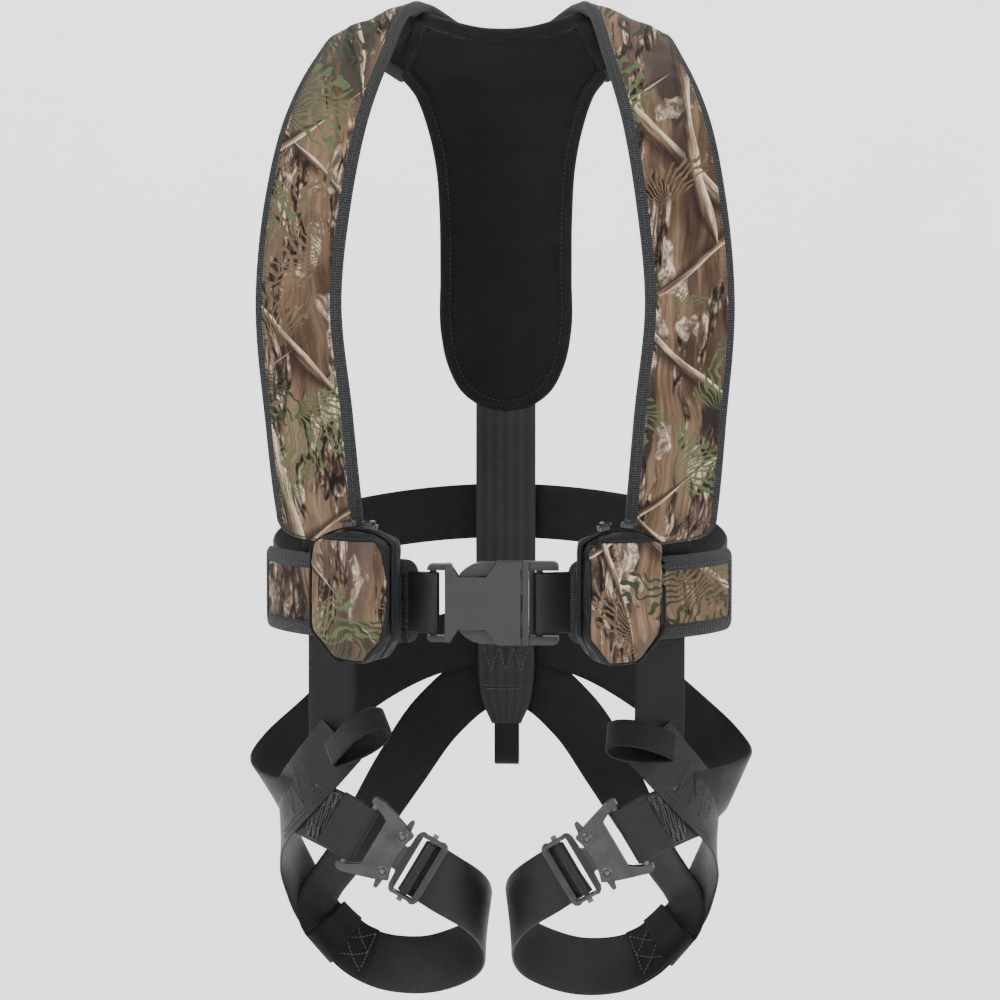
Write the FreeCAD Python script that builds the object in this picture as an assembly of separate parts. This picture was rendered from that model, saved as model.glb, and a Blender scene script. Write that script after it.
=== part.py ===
"""Treestand safety harness vest, as worn on an upright torso.

A padded yoke and shoulder straps, a waist belt with two pouches and a side-release buckle, and two thigh
loops closed by quick-release metal buckles.

Frame: millimetres, +Z up, the wearer faces -Y, the wearer's left is +X. The origin is on the wearer's
centreline at the height of the belt. Webbing, pads and bags are plain closed solids; the buckles are the
real mechanisms.
"""

import math
import os

import FreeCAD
import Part
from FreeCAD import Vector as V

# ---- driving dimensions ----
WAIST_A = 178.0  # half width of the belt line
WAIST_B = 118.0  # half depth of the belt line
WEB = 46.0  # load-bearing webbing
WEB_T = 1.8
BACK_WEB = 48.0
BACK_BELT = 44.0
LOOP_WEB = 25.0  # webbing of the tree-belt loops
PAD_T = 3.2  # each layer of a pad, cloth and foam
BINDING = 9.0  # visible width of the edge tape
GAP = 0.4  # between layers that lie on each other

PANEL_FROM, PANEL_TO = 18.5, 80.0  # the waist panels' ends, in degrees round the belt line
PANEL_H = 62.0
PANEL_OFF = 2.0  # from the belt's line to the panel's inner face

BUCKLE_Y = -121.0  # middle of the belt buckle's thickness
BUCKLE_T = 14.0
BUCKLE_H = 63.0

POUCH_X = {"left": 84.0, "right": 90.0}
POUCH_HALF = 31.0
POUCH_TOP, POUCH_FOOT = 57.0, -43.0
POUCH_SHOULDER = 47.0  # where the straight sides meet the domed top
POUCH_OFF = 12.5  # from the belt's line to the pouch's back
POUCH_DEPTH = 42.0
POUCH_WALL = 2.5
LOOP_IN = -3.6  # the pouch loop's inner face, from the belt's line
SLIDER_ANGLES = {"outer": 6.0, "inner": -13.0}

LEG_PIN = V(103, -93, -182.5)  # middle of the thigh buckle's webbing bar
LEG_SLOPE = 30.5  # the thigh buckle's axis below level, in degrees
SIDES = {"left": 1, "right": -1}

PARTS = {}


# ---- tools ----
def add(name, *shapes):
    """Files one sub-part's solids under its node name."""
    solids = [s for shape in shapes for s in shape.Solids]
    for solid in solids:
        if not solid.isValid() or solid.Volume <= 0:
            raise ValueError(name + " has a bad solid")
    PARTS[name] = solids[0] if len(solids) == 1 else Part.Compound(solids)


def outward(solid):
    """The solid with its faces pointing out."""
    if solid.Volume < 0:
        solid.reverse()
    return solid


def spline(points):
    curve = Part.BSplineCurve()
    curve.interpolate(points)
    return curve.toShape()


def polygon(points):
    return Part.Face(Part.makePolygon([*points, points[0]]))


def box(x, y, z):
    """A box from three (low, high) pairs."""
    return Part.makeBox(x[1] - x[0], y[1] - y[0], z[1] - z[0], V(x[0], y[0], z[0]))


def mirrored(shape, side):
    return shape if side > 0 else shape.mirror(V(0, 0, 0), V(1, 0, 0))


def stations(rows, side=1):
    """Rows of (x, y, z, nx, ny, nz, width) as (centre, face normal, width)."""
    return [(V(x * side, y, z), V(nx * side, ny, nz), w) for x, y, z, nx, ny, nz, w in rows]


def frames(path):
    """(centre, across, out, width) at each station, square to the path."""
    found = []
    for i, (centre, normal, width) in enumerate(path):
        ahead = path[min(i + 1, len(path) - 1)][0] - path[max(i - 1, 0)][0]
        along = V(ahead).normalize()
        across = along.cross(normal).normalize()
        found.append((centre, across, across.cross(along).normalize(), width))
    return found


def ribbon(path, low, high, shares=(-0.5, 0.5), inset=(0.0, 0.0)):
    """A strip along the path, from low to high above it, across the given shares of its width."""
    wires = []
    for centre, across, out, width in frames(path):
        a, b = shares[0] * width + inset[0], shares[1] * width - inset[1]
        corners = [centre + across * u + out * h for u, h in ((a, low), (b, low), (b, high), (a, high))]
        wires.append(Part.makePolygon([*corners, corners[0]]))
    return outward(Part.makeLoft(wires, True, False))


def strip(points, half, width):
    """A strip on edge: the curve through points, half as thick on either side, drawn out along width."""
    curve = Part.BSplineCurve()
    curve.interpolate(points)
    sides = ([], [])
    count = 3 * len(points)
    for i in range(count + 1):
        t = curve.FirstParameter + (curve.LastParameter - curve.FirstParameter) * i / count
        out = curve.tangent(t)[0].cross(width).normalize() * half
        sides[0].append(curve.value(t) + out)
        sides[1].append(curve.value(t) - out)
    outline = Part.Wire([
        spline(sides[0]),
        Part.makeLine(sides[0][-1], sides[1][-1]),
        spline(sides[1][::-1]),
        Part.makeLine(sides[1][0], sides[0][0]),
    ])
    return outward(Part.Face(outline).extrude(width))


def waist(angle, off):
    """A point off the belt line, at an angle from the front middle round to the wearer's left."""
    t = math.radians(angle)
    normal = V(math.sin(t) / WAIST_A, -math.cos(t) / WAIST_B, 0).normalize()
    return V(WAIST_A * math.sin(t), -WAIST_B * math.cos(t), 0) + normal * off


def waist_edge(start, stop, off):
    steps = max(2, round(abs(stop - start) / 9))
    return [waist(start + (stop - start) * i / steps, off) for i in range(steps + 1)]


def waist_band(start, stop, low, high, foot, top):
    """An upright band round the belt line."""
    inner, outer = waist_edge(start, stop, low), waist_edge(start, stop, high)
    outline = Part.Wire([
        spline(inner),
        Part.makeLine(inner[-1], outer[-1]),
        spline(outer[::-1]),
        Part.makeLine(outer[0], inner[0]),
    ])
    outline.translate(V(0, 0, foot))
    return outward(Part.Face(outline).extrude(V(0, 0, top - foot)))


# ---- shoulder straps and yoke ----
# The strap runs from its foot at the belt, up the chest, over the shoulder and down to the yoke's seam.
SHOULDER = [
    (132, -78.5, 42, 0.53, -0.85, 0.00, 80),
    (135, -88, 74, 0.50, -0.87, 0.00, 79),
    (140, -101, 136, 0.45, -0.89, 0.05, 76),
    (147, -107, 227, 0.42, -0.90, 0.08, 72),
    (140, -99, 302, 0.40, -0.88, 0.25, 72),
    (128, -73, 363, 0.38, -0.72, 0.55, 72),
    (111, -37, 408, 0.38, -0.45, 0.80, 71),
    (97, 2, 434, 0.37, 0.00, 0.93, 69),
    (82, 40, 428, 0.33, 0.60, 0.73, 69),
    (57, 72, 411, 0.25, 0.74, 0.62, 68),
]
BINDING_T = 2 * PAD_T + WEB_T + 2 * GAP + 1.2


def shoulder_strap(name, side):
    path = stations(SHOULDER, side)
    half = WEB_T / 2 + GAP
    edge = BINDING + 0.3
    foot = path[0][0] - path[1][0]
    trimmed = [(path[0][0] - foot.normalize() * edge, path[0][1], path[0][2]), *path[1:]]
    add("shoulder_shell_" + name, ribbon(trimmed, half, half + PAD_T, inset=(edge, edge)))
    add("shoulder_lining_" + name, ribbon(trimmed, -half - PAD_T, -half, inset=(edge, edge)))
    tape = BINDING_T / 2
    end = [(path[0][0], path[0][1], path[0][2]), (trimmed[0][0] + foot * 0.3, path[0][1], path[0][2])]
    add(
        "shoulder_binding_" + name,
        ribbon(path, -tape, tape, shares=(-0.5, -0.5), inset=(0, -BINDING)),
        ribbon(path, -tape, tape, shares=(0.5, 0.5), inset=(-BINDING, 0)),
        ribbon(end, -tape, tape, inset=(edge, edge)),
    )


# The webbing that carries the load: from the thigh, inside the belt, up through the shoulder strap.
LOAD_WEB = [
    (124.5, -80.5, -122, 0.56, -0.83, 0.00, WEB),
    (125.5, -79.0, -95, 0.57, -0.82, 0.00, WEB),
    (125.5, -77.5, -60, 0.57, -0.82, 0.00, WEB),
    (125.5, -77, -20, 0.57, -0.82, 0.00, WEB),
    (126, -76.5, 12, 0.56, -0.83, 0.00, WEB),
    (128, -76.5, 32, 0.55, -0.83, 0.00, WEB),
    *[(*row[:6], WEB) for row in SHOULDER[1:]],
]


def load_webbing(name, side):
    add("load_webbing_" + name, ribbon(stations(LOAD_WEB, side), -WEB_T / 2, WEB_T / 2))


# The yoke seen from the side (y, z), and its edge seen from behind (x, z).
YOKE_PROFILE = [
    (4, 441), (22, 438.5), (40, 431), (57, 417), (72, 400), (85, 377), (97, 346), (105, 308), (109, 262),
    (110, 215), (110, 165), (108, 118),
]
YOKE_SIDE = [
    (85, 400), (71, 378), (62, 352), (56, 322), (53.5, 285), (53, 235), (52.5, 188), (47, 162), (35, 140),
]
YOKE_FOOT = 125.0
YOKE_WING = (65, 440.5)  # where the neckline meets the shoulder strap's inner edge
YOKE_NECK = [(24, 431), (0, 429)]
YOKE_BOX = 100.0


def yoke_sheet(low, high):
    """The curved slab that the yoke's layers are cut from, by its distance behind the profile."""
    inner = [V(0, y + low, z) for y, z in YOKE_PROFILE]
    outer = [V(0, y + high, z) for y, z in YOKE_PROFILE[::-1]]
    outline = Part.Wire([
        spline(inner),
        Part.makeLine(inner[-1], outer[0]),
        spline(outer),
        Part.makeLine(outer[-1], inner[0]),
    ])
    outline.translate(V(-YOKE_BOX, 0, 0))
    return outward(Part.Face(outline).extrude(V(2 * YOKE_BOX, 0, 0)))


def yoke_outline(inset):
    """The yoke's edge, drawn in by inset, as a prism along Y."""
    x, z = YOKE_SIDE[0]
    rows = [(x - inset, z - 0.4 * inset), *[(x - inset, z) for x, z in YOKE_SIDE[1:]]]
    right, left = ([V(s * x, 0, z) for x, z in rows] for s in (1, -1))
    foot = V(0, 0, YOKE_FOOT + inset)
    middle = V(0, 0, YOKE_NECK[1][1] - inset)
    neck = [V(s * YOKE_NECK[0][0], 0, YOKE_NECK[0][1] - inset) for s in (1, -1)]
    wing = [V(s * (YOKE_WING[0] - 0.5 * inset), 0, YOKE_WING[1] - 1.2 * inset) for s in (1, -1)]
    edge = Part.Wire([
        spline([*right, foot, *left[::-1]]),
        Part.makeLine(left[0], wing[1]),
        Part.makeLine(wing[1], neck[1]),
        Part.Arc(neck[1], middle, neck[0]).toShape(),
        Part.makeLine(neck[0], wing[0]),
        Part.makeLine(wing[0], right[0]),
    ])
    return outward(Part.Face(edge).extrude(V(0, 2 * YOKE_BOX, 0)))


def yoke():
    half = BACK_WEB_T / 2 + 3 * GAP
    inside = yoke_outline(BINDING + 0.3)
    add("yoke_shell", yoke_sheet(half, half + PAD_T).common(inside))
    add("yoke_lining", yoke_sheet(-half - PAD_T, -half).common(inside))
    tape = BINDING_T / 2
    rim = yoke_outline(0).cut(yoke_outline(BINDING))
    tunnel = box((-BACK_WEB / 2 - GAP, BACK_WEB / 2 + GAP), (0, 2 * YOKE_BOX), (110, 200)).common(
        yoke_sheet(-half, half)
    )
    add("yoke_binding", yoke_sheet(-tape, tape).common(rim).cut(tunnel))


# The webbing down the middle of the back, which narrows into the tail loop.
BACK_WEB_T = 2.2
BACK = [
    (0, 105, 310, 0, 1, 0, BACK_WEB),
    (0, 109, 262, 0, 1, 0, BACK_WEB),
    (0, 110, 215, 0, 1, 0, BACK_WEB),
    (0, 110, 165, 0, 1, 0, BACK_WEB),
    (0, 108, 118, 0, 1, 0, BACK_WEB),
    (0, 107, 60, 0, 1, 0, BACK_WEB),
    (0, 108, 0, 0, 1, 0, BACK_WEB),
    (0, 112, -60, 0, 1, 0, 46),
    (0, 116, -92, 0, 1, 0, 45),
    (0, 118, -112, 0, 1, 0, 39),
    (0, 119, -130, 0, 1, 0, 24),
]
LOOP_HALF = 4.4  # half the tail loop's thickness, to the middle of the webbing
TAIL_FOOT = -160.0
TAIL_Y = 127.5


def tail_loop():
    """The narrow webbing folded back on itself behind the tail of the back webbing."""
    front, back = TAIL_Y - LOOP_HALF, TAIL_Y + LOOP_HALF
    points = [V(-10, front, -115), V(-10, front, -130), V(-10, front, -145), V(-10, front, TAIL_FOOT)]
    for angle in (45, 90, 135):
        t = math.radians(angle)
        points.append(V(-10, TAIL_Y - LOOP_HALF * math.cos(t), TAIL_FOOT - LOOP_HALF * math.sin(t)))
    points += [V(-10, back, TAIL_FOOT), V(-10, back, -145), V(-10, back, -130), V(-10, back, -115)]
    return strip(points, 0.8, V(20, 0, 0))


# ---- belt ----
BACK_BELT_PATH = [
    (-169.6, -33, 6, -0.92, -0.39, 0, BACK_BELT),
    (-176.5, 0, 13, -1.00, 0.00, 0, BACK_BELT),
    (-164, 48, 23, -0.90, 0.45, 0, BACK_BELT),
    (-122, 92, 33, -0.55, 0.83, 0, BACK_BELT),
    (-62, 114, 41, -0.25, 0.97, 0, BACK_BELT),
    (0, 119, 44, 0, 1, 0, BACK_BELT),
]


def both_halves(rows):
    """A path drawn to the middle of the back, with its mirror image after it."""
    return rows + [(-x, y, z, -nx, ny, nz, w) for x, y, z, nx, ny, nz, w in rows[-2::-1]]


def waist_panel(name, side):
    low, high = PANEL_OFF, PANEL_OFF + PAD_T
    half, rim = PANEL_H / 2, PANEL_H / 2 - BINDING
    turn = 4.0  # the binding's width, in degrees round the belt line
    shell = waist_band(PANEL_FROM + turn + 0.2, PANEL_TO - turn - 0.2, low, high, 0.3 - rim, rim - 0.3)
    whole = waist_band(PANEL_FROM, PANEL_TO, low - 0.4, high + 0.8, -half, half)
    window = waist_band(PANEL_FROM + turn, PANEL_TO - turn, low - 2, high + 2, -rim, rim)
    add("waist_panel_" + name, mirrored(shell, side))
    add("waist_binding_" + name, mirrored(whole.cut(window), side))


BAR_X = {"right": 45.0, "left": 35.0}  # the buckle's webbing bars, from the middle
BAR_R = 2.6


def belt_webbing(name, side):
    """The front belt: a band inside the panel whose end is sewn round the buckle's bar."""
    end = 22.0
    band = waist_band(end, 68, -WEB_T / 2, WEB_T / 2, -WEB / 2, WEB / 2)
    start = waist(end, 0)
    bar = V(BAR_X[name], BUCKLE_Y, 0)
    r_out, r_in = BAR_R + GAP + WEB_T, BAR_R + GAP
    fold = Part.makeCylinder(r_out, WEB, bar - V(0, 0, WEB / 2))
    taper = [
        bar + V(1, -r_out, 0),
        V(start.x, start.y - WEB_T / 2, 0),
        V(start.x, start.y + WEB_T / 2, 0),
        bar + V(1, r_out, 0),
    ]
    wedge = polygon(taper).extrude(V(0, 0, WEB))
    wedge.translate(V(0, 0, -WEB / 2))
    hole = Part.makeCylinder(r_in, WEB + 2, bar - V(0, 0, WEB / 2 + 1))
    add("belt_webbing_" + name, mirrored(band.fuse(wedge).fuse(fold).removeSplitter().cut(hole), side))


# ---- belt buckle ----
SOCKET_MOUTH, PLUG_START = 21.0, 22.5
FRAME_END = 49.5  # how far the webbing frames reach from the middle
SHELL_T = 3.2  # the socket's front and back plates
ARM_ROOT = V(24.6, BUCKLE_Y, 22)
WEB_SLOT = 50.0


def slab(points, low, high):
    """An outline in the buckle's face (x, z), between two depths in front of the buckle's middle."""
    face = polygon([V(x, BUCKLE_Y - low, z) for x, z in points])
    return outward(face.extrude(V(0, low - high, 0)))


def up_and_down(points):
    """An outline drawn above the centre line, with its mirror image below."""
    return points + [(x, -z) for x, z in points[::-1]]


def web_frame(bar_x, neck_x, half):
    """A webbing bar held between two cheeks with rounded ends."""
    end = math.copysign(FRAME_END, bar_x)
    back = math.copysign(1, -bar_x)
    outline = [
        (neck_x, WEB_SLOT / 2), (neck_x, half), (end + 3.5 * back, half), (end + 1.2 * back, half - 1),
        (end, half - 3), (end, WEB_SLOT / 2),
    ]
    cheeks = [slab([(x, s * z) for x, z in outline], -5, 5) for s in (1, -1)]
    bar = Part.makeCylinder(BAR_R, 2 * half - 2, V(bar_x, BUCKLE_Y, 1 - half))
    return [*cheeks, bar]


def fused(pieces):
    whole = pieces[0]
    for piece in pieces[1:]:
        whole = whole.fuse(piece)
    return whole.removeSplitter()


def belt_socket():
    half, out = BUCKLE_H / 2, BUCKLE_T / 2
    outline = up_and_down([
        (-36, 29.5), (-32, 29.5), (-26, 20), (-5, 20), (3, half - 0.5), (4, half), (SOCKET_MOUTH, half),
    ])
    plates = [slab(outline, out - SHELL_T, out), slab(outline, -out, SHELL_T - out)]
    heel = slab(up_and_down([(-36, 29.5), (-32, 29.5), (-30, 26)]), -out, out)
    rails = [
        slab([(-31, s * 7.4), (16, s * 7.4), (16, s * 10), (-31, s * 10)], -out + 1, out - 1)
        for s in (1, -1)
    ]
    body = fused([*plates, heel, *rails, *web_frame(-BAR_X["right"], -33, 29.5)])
    add("belt_socket", body)


def arm_axis(side, radius):
    """A rod on a latch arm's pivot, through the buckle's thickness."""
    back = V(ARM_ROOT.x, BUCKLE_Y - BUCKLE_T / 2, side * ARM_ROOT.z)
    return Part.makeCylinder(radius, BUCKLE_T, back, V(0, 1, 0))


def belt_plug():
    half, out = BUCKLE_H / 2, BUCKLE_T / 2
    collar = slab(up_and_down([(PLUG_START, half), (27, half)]), -out, out)
    prong = slab(up_and_down([(-16, 4.5), (-12, 6.6), (24, 6.6)]), -3.2, 3.2)
    body = fused([collar, prong, *web_frame(BAR_X["left"], 25, half)])
    for side in (1, -1):
        notch = slab([(21, side * 17.5), (28, side * 17.5), (28, side * 26.5), (21, side * 26.5)], -3.5, 3.5)
        body = body.cut(notch).fuse(arm_axis(side, 1.1))
    add("belt_plug", body.removeSplitter())


def plug_arm(name, side):
    """A latch arm: a springy limb with a thumb pad that fills the notch in the socket's side."""
    outline = [
        (24.6, 19.4), (24.6, 24.6), (19, 26), (8, 28.4), (2, 31), (-8, 31.2), (-15, 29.4),
        (-21, 25.8), (-25, 22), (-25.5, 19), (-24, 17), (-8, 21), (4, 21.5), (14, 19.6),
    ]
    limb = slab([(x, side * z) for x, z in outline], -3.0, 3.0)
    root = arm_axis(side, 2.6).common(box((0, 40), (BUCKLE_Y - 3, BUCKLE_Y + 3), (-40, 40)))
    add("plug_arm_" + name, limb.fuse(root).removeSplitter().cut(arm_axis(side, 1.16)))


# ---- pouches ----
def pouch_edge(grow):
    """The pouch's outline (u outward round the belt, v up), grown by grow: domed top, clipped corners."""
    half, rise = POUCH_HALF + grow, POUCH_TOP - POUCH_SHOULDER
    dome = Part.Arc(
        V(half, POUCH_SHOULDER, 0),
        V(0, POUCH_SHOULDER + rise + grow, 0),
        V(-half, POUCH_SHOULDER, 0),
    ).toShape()
    foot = POUCH_FOOT - grow
    corners = [
        V(-half, POUCH_SHOULDER, 0), V(-half, -24, 0), V(-20 - 0.4 * grow, foot, 0),
        V(9 + 0.4 * grow, foot, 0), V(half, -18, 0), V(half, POUCH_SHOULDER, 0),
    ]
    return Part.Face(Part.Wire([dome, Part.makePolygon(corners)]))


DOME_RISE = POUCH_TOP - POUCH_SHOULDER
DOME_R = (POUCH_HALF**2 + DOME_RISE**2) / (2 * DOME_RISE)
POUCH_SPLIT = POUCH_OFF + POUCH_DEPTH / 2  # the zip's depth
# The printed face, which stops short of the pouch's inner side.
FACE = [(-28, 44), (-24, 50), (24, 50), (29, 45), (29.5, -18), (9, -41), (-14, -41), (-28, -23)]


def pouch_place(shape, name, side):
    """Puts a shape drawn in the pouch's (u, v, outward) axes on the belt."""
    t = math.asin(POUCH_X[name] / WAIST_A)
    out = V(math.sin(t) / WAIST_A, -math.cos(t) / WAIST_B, 0).normalize()
    along = V(-out.y, out.x, 0)
    at = waist(math.degrees(t), 0)
    placed = shape.copy()
    placed.transformShape(FreeCAD.Matrix(
        along.x, 0, out.x, at.x,
        along.y, 0, out.y, at.y,
        0, 1, 0, 0,
        0, 0, 0, 1,
    ))
    return outward(mirrored(placed, side))


def prism(face, low, high):
    lifted = face.copy()
    lifted.translate(V(0, 0, low))
    return lifted.extrude(V(0, 0, high - low))


def slider(angle):
    """A zip slider with its cord pull, on the domed top."""
    body = box((-3.5, 3.5), (0, 3.6), (-4.5, 4.5)).cut(box((-4, 4), (0.8, 2.4), (-1.2, 1.2)))
    bridge = box((-1.2, 1.2), (3.6, 6.0), (-3, 3)).cut(box((-2, 2), (3.6, 5.0), (-2, 2)))
    head = body.fuse(bridge).removeSplitter()
    cord = Part.makeTorus(5.0, 0.6, V(0, 4.3, 5.0), V(0, 1, 0))
    pull = Part.Compound([*head.Solids, *cord.Solids])
    pull.translate(V(0, DOME_R + 1.9, POUCH_SPLIT))
    pull.rotate(V(0, 0, 0), V(0, 0, 1), -angle)
    pull.translate(V(0, POUCH_TOP - DOME_R, 0))
    return pull


def pouch(name, side):
    low, split, high = POUCH_OFF, POUCH_SPLIT, POUCH_OFF + POUCH_DEPTH
    outer, inner = pouch_edge(0), pouch_edge(-POUCH_WALL)
    back = prism(outer, low, split).cut(prism(inner, low + POUCH_WALL, split + 1))
    loop = box((-12, 12), (-35, 35), (LOOP_IN, low))
    loop = loop.cut(box((-13, 13), (-33.5, 33.5), (LOOP_IN + 1.2, low - 1.2)))
    add("pouch_back_" + name, pouch_place(back.fuse(loop), name, side))
    front = prism(outer, split + 0.3, high).cut(prism(inner, split - 1, high - POUCH_WALL))
    tape = prism(pouch_edge(1.5), split - 4.5, split + 4.5).cut(prism(pouch_edge(0.3), split - 6, split + 6))
    tape = tape.common(box((-60, 60), (-22, 80), (0, 60)))
    face = prism(polygon([V(u, v, 0) for u, v in FACE]), high + 0.3, high + 2.1)
    add("pouch_zip_" + name, pouch_place(tape, name, side))
    add("pouch_front_" + name, pouch_place(front, name, side))
    add("pouch_face_" + name, pouch_place(face, name, side))
    for where, angle in SLIDER_ANGLES.items():
        solids = [pouch_place(s, name, side) for s in slider(angle).Solids]
        add(f"zip_slider_{where}_{name}", *solids)


# ---- hips and thighs ----
# From the hip's front, where it is sewn under the thigh strap, round to the middle of the back.
HIP_FRONT = {
    "left": [
        (152, -70, -160, 0.66, -0.74, 0.00, WEB),
        (173, -37, -158, 0.85, -0.45, -0.25, WEB),
        (188, 0, -152, 0.92, 0.05, -0.39, WEB),
        (177, 35, -139, 0.84, 0.45, -0.30, WEB),
        (150, 64, -118, 0.66, 0.72, -0.20, WEB),
    ],
    "right": [
        (147, -73, -166, 0.62, -0.78, 0.00, WEB),
        (163, -48, -168, 0.74, -0.58, -0.35, WEB),
        (178.5, -20, -164, 0.80, -0.30, -0.52, WEB),
        (183, 6, -156, 0.80, 0.12, -0.58, WEB),
        (176, 35, -145, 0.76, 0.45, -0.46, WEB),
        (154, 63, -126, 0.66, 0.68, -0.32, WEB),
    ],
}
HIP_BACK = [
    (114, 93, -93, 0.48, 0.86, -0.12, WEB),
    (66, 114, -69, 0.25, 0.97, -0.05, WEB),
    (0, 122, -56, 0.00, 1.00, 0.00, WEB),
]
# From inside the keeper, up the back of the thigh to the middle of the back.
SEAT_STRAP = [
    (-106, 34.5, -304, -0.34, 0.78, -0.50, WEB),
    (-114.4, 33.2, -299, -0.42, 0.72, -0.50, WEB),
    (-131.7, 29.5, -283, -0.56, 0.64, -0.51, WEB),
    (-144, 28.5, -273.5, -0.70, 0.62, -0.30, WEB),
    (-148, 31.5, -261, -0.80, 0.58, -0.02, WEB),
    (-140.5, 39.5, -247, -0.72, 0.63, 0.22, WEB),
    (-127, 51, -229, -0.63, 0.70, 0.28, WEB),
    (-108, 72, -200, -0.54, 0.78, 0.12, WEB),
    (-84, 97, -163, -0.38, 0.90, -0.06, WEB),
    (-54, 117, -122, -0.20, 0.97, -0.10, WEB),
    (-24, 125, -98, -0.08, 0.99, -0.04, WEB),
    (0, 126, -91, 0.00, 1.00, 0.00, WEB),
]
# Round the thigh: down its outer side, under the seat, and forward between the legs to the buckle.
THIGH = [
    (117, -88, -110, 0.50, -0.86, 0.00, WEB),
    (131, -84, -127, 0.57, -0.82, 0.00, WEB),
    (149, -73, -149, 0.74, -0.67, 0.00, 47),
    (163, -53, -168, 0.91, -0.42, -0.05, 48),
    (170, -28, -188, 0.99, -0.03, -0.10, 48),
    (168, -4, -209, 0.93, 0.33, -0.15, 48),
    (161.5, 16, -234, 0.84, 0.50, -0.22, 47),
    (151.5, 29.5, -260, 0.76, 0.58, -0.28, WEB),
    (133, 31, -284, 0.56, 0.64, -0.51, WEB),
    (116, 35, -300.5, 0.40, 0.74, -0.50, WEB),
    (95, 41.5, -311, 0.18, 0.88, -0.42, WEB),
    (66, 43, -314, -0.10, 0.95, -0.28, WEB),
    (30, 24, -300, -0.62, 0.75, -0.20, WEB),
    (10, -14, -272, -1.00, 0.00, -0.05, WEB),
    (17, -55, -243, -0.80, -0.60, 0.00, WEB),
    (40, -81, -222, -0.30, -0.95, 0.00, WEB),
    (62, -85.6, -207, 0.00, -1.00, 0.00, WEB),
]
KEEPER_AT, KEEPER_LONG = 8, 24.0
# The tree-belt loops: root, direction of the loop and direction of the webbing's width.
LINEMAN = {
    "left": (V(137, -101, -113), V(-0.98, -0.10, 0.17), V(0.12, 0.71, 0.69)),
    "right": (V(125, -103, -121), V(-0.82, -0.05, 0.56), V(0.34, 0.80, 0.50)),
}
LOOP_SIDE = [(0, 1.4), (12, 6), (26, 9.5), (38, 9.6), (48, 6)]  # half the loop's outline (along, thick)
LOOP_TIP = 52.0
PATCH = [
    (111, -90.5, -178, 0.10, -0.99, 0.0, 47),
    (128, -86, -171, 0.40, -0.92, 0.0, 48),
    (146, -73, -165, 0.70, -0.71, 0.0, 50),
    (158, -58, -163, 0.85, -0.53, 0.0, 50),
]


def hip_path():
    """The hip band from the wearer's right, round the back, to the wearer's left."""
    left = stations(HIP_FRONT["left"] + HIP_BACK[:-1])
    return stations(HIP_FRONT["right"] + HIP_BACK, -1) + left[::-1]


def lineman_loop(name, side):
    root, along, wide = LINEMAN[name]
    along.normalize()
    thick = wide.cross(along).normalize()
    across = along.cross(thick)
    outline = [V(s, t, 0) for s, t in [*LOOP_SIDE, (LOOP_TIP, 0)]]
    outline += [V(s, -t, 0) for s, t in LOOP_SIDE[::-1]]
    loop = strip(outline, 0.8, V(0, 0, LOOP_WEB))
    loop.translate(V(0, 0, -LOOP_WEB / 2))
    loop.transformShape(FreeCAD.Matrix(
        along.x, thick.x, across.x, root.x,
        along.y, thick.y, across.y, root.y,
        along.z, thick.z, across.z, root.z,
        0, 0, 0, 1,
    ))
    add("lineman_loop_" + name, mirrored(outward(loop), side))


def leg_place(shape, side):
    """Puts a shape drawn in the thigh buckle's axes (towards the tongue, across, outward) on the thigh."""
    t = math.radians(LEG_SLOPE)
    placed = shape.copy()
    placed.transformShape(FreeCAD.Matrix(
        -math.cos(t), math.sin(t), 0, LEG_PIN.x,
        0, 0, -1, LEG_PIN.y,
        -math.sin(t), -math.cos(t), 0, LEG_PIN.z,
        0, 0, 0, 1,
    ))
    return outward(mirrored(placed, side))


def keeper(name, side):
    """A short sleeve round the thigh strap."""
    centre, across, out, _ = frames(stations(THIGH))[KEEPER_AT]
    centre = centre - out * (WEB_T + GAP) / 2
    along = out.cross(across)
    sleeve = box((-KEEPER_LONG / 2, KEEPER_LONG / 2), (-25.4, 25.4), (-4.4, 4.4)).cut(
        box((-KEEPER_LONG, KEEPER_LONG), (-24.2, 24.2), (-3.2, 3.2))
    )
    sleeve.transformShape(FreeCAD.Matrix(
        along.x, across.x, out.x, centre.x,
        along.y, across.y, out.y, centre.y,
        along.z, across.z, out.z, centre.z,
        0, 0, 0, 1,
    ))
    add("strap_keeper_" + name, mirrored(outward(sleeve), side))


# ---- thigh buckle, drawn in (towards the tongue, across, outward) ----
PLATE_T = 2.0
PLATE_GAP = 5.0  # between the socket's two plates
PIN_R = 2.6
RIVET = V(29, 15.4, 0)
SOCKET_NOSE, NOSE_SCOOP = 36.5, 3.6
TONGUE_T = 3.0


def plate_face():
    """One plate of the socket: arms to the webbing bar, a slot for the webbing, and a scooped nose."""
    edge = [
        (36.5, 19.5), (31, 22), (25, 24.5), (14.5, 27.8), (2, 31.5), (-2.5, 31.6), (-4.6, 29.8),
        (-4.5, 27), (2, 24.8), (9, 21.5), (12.3, 19),
    ]
    upper = [V(x, -y, 0) for x, y in edge]
    lower = [V(x, y, 0) for x, y in edge[::-1]]
    nose = Part.Arc(lower[-1], V(SOCKET_NOSE - NOSE_SCOOP, 0, 0), upper[0]).toShape()
    return Part.Face(Part.Wire([Part.makePolygon([*upper, *lower]), nose]))


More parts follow.
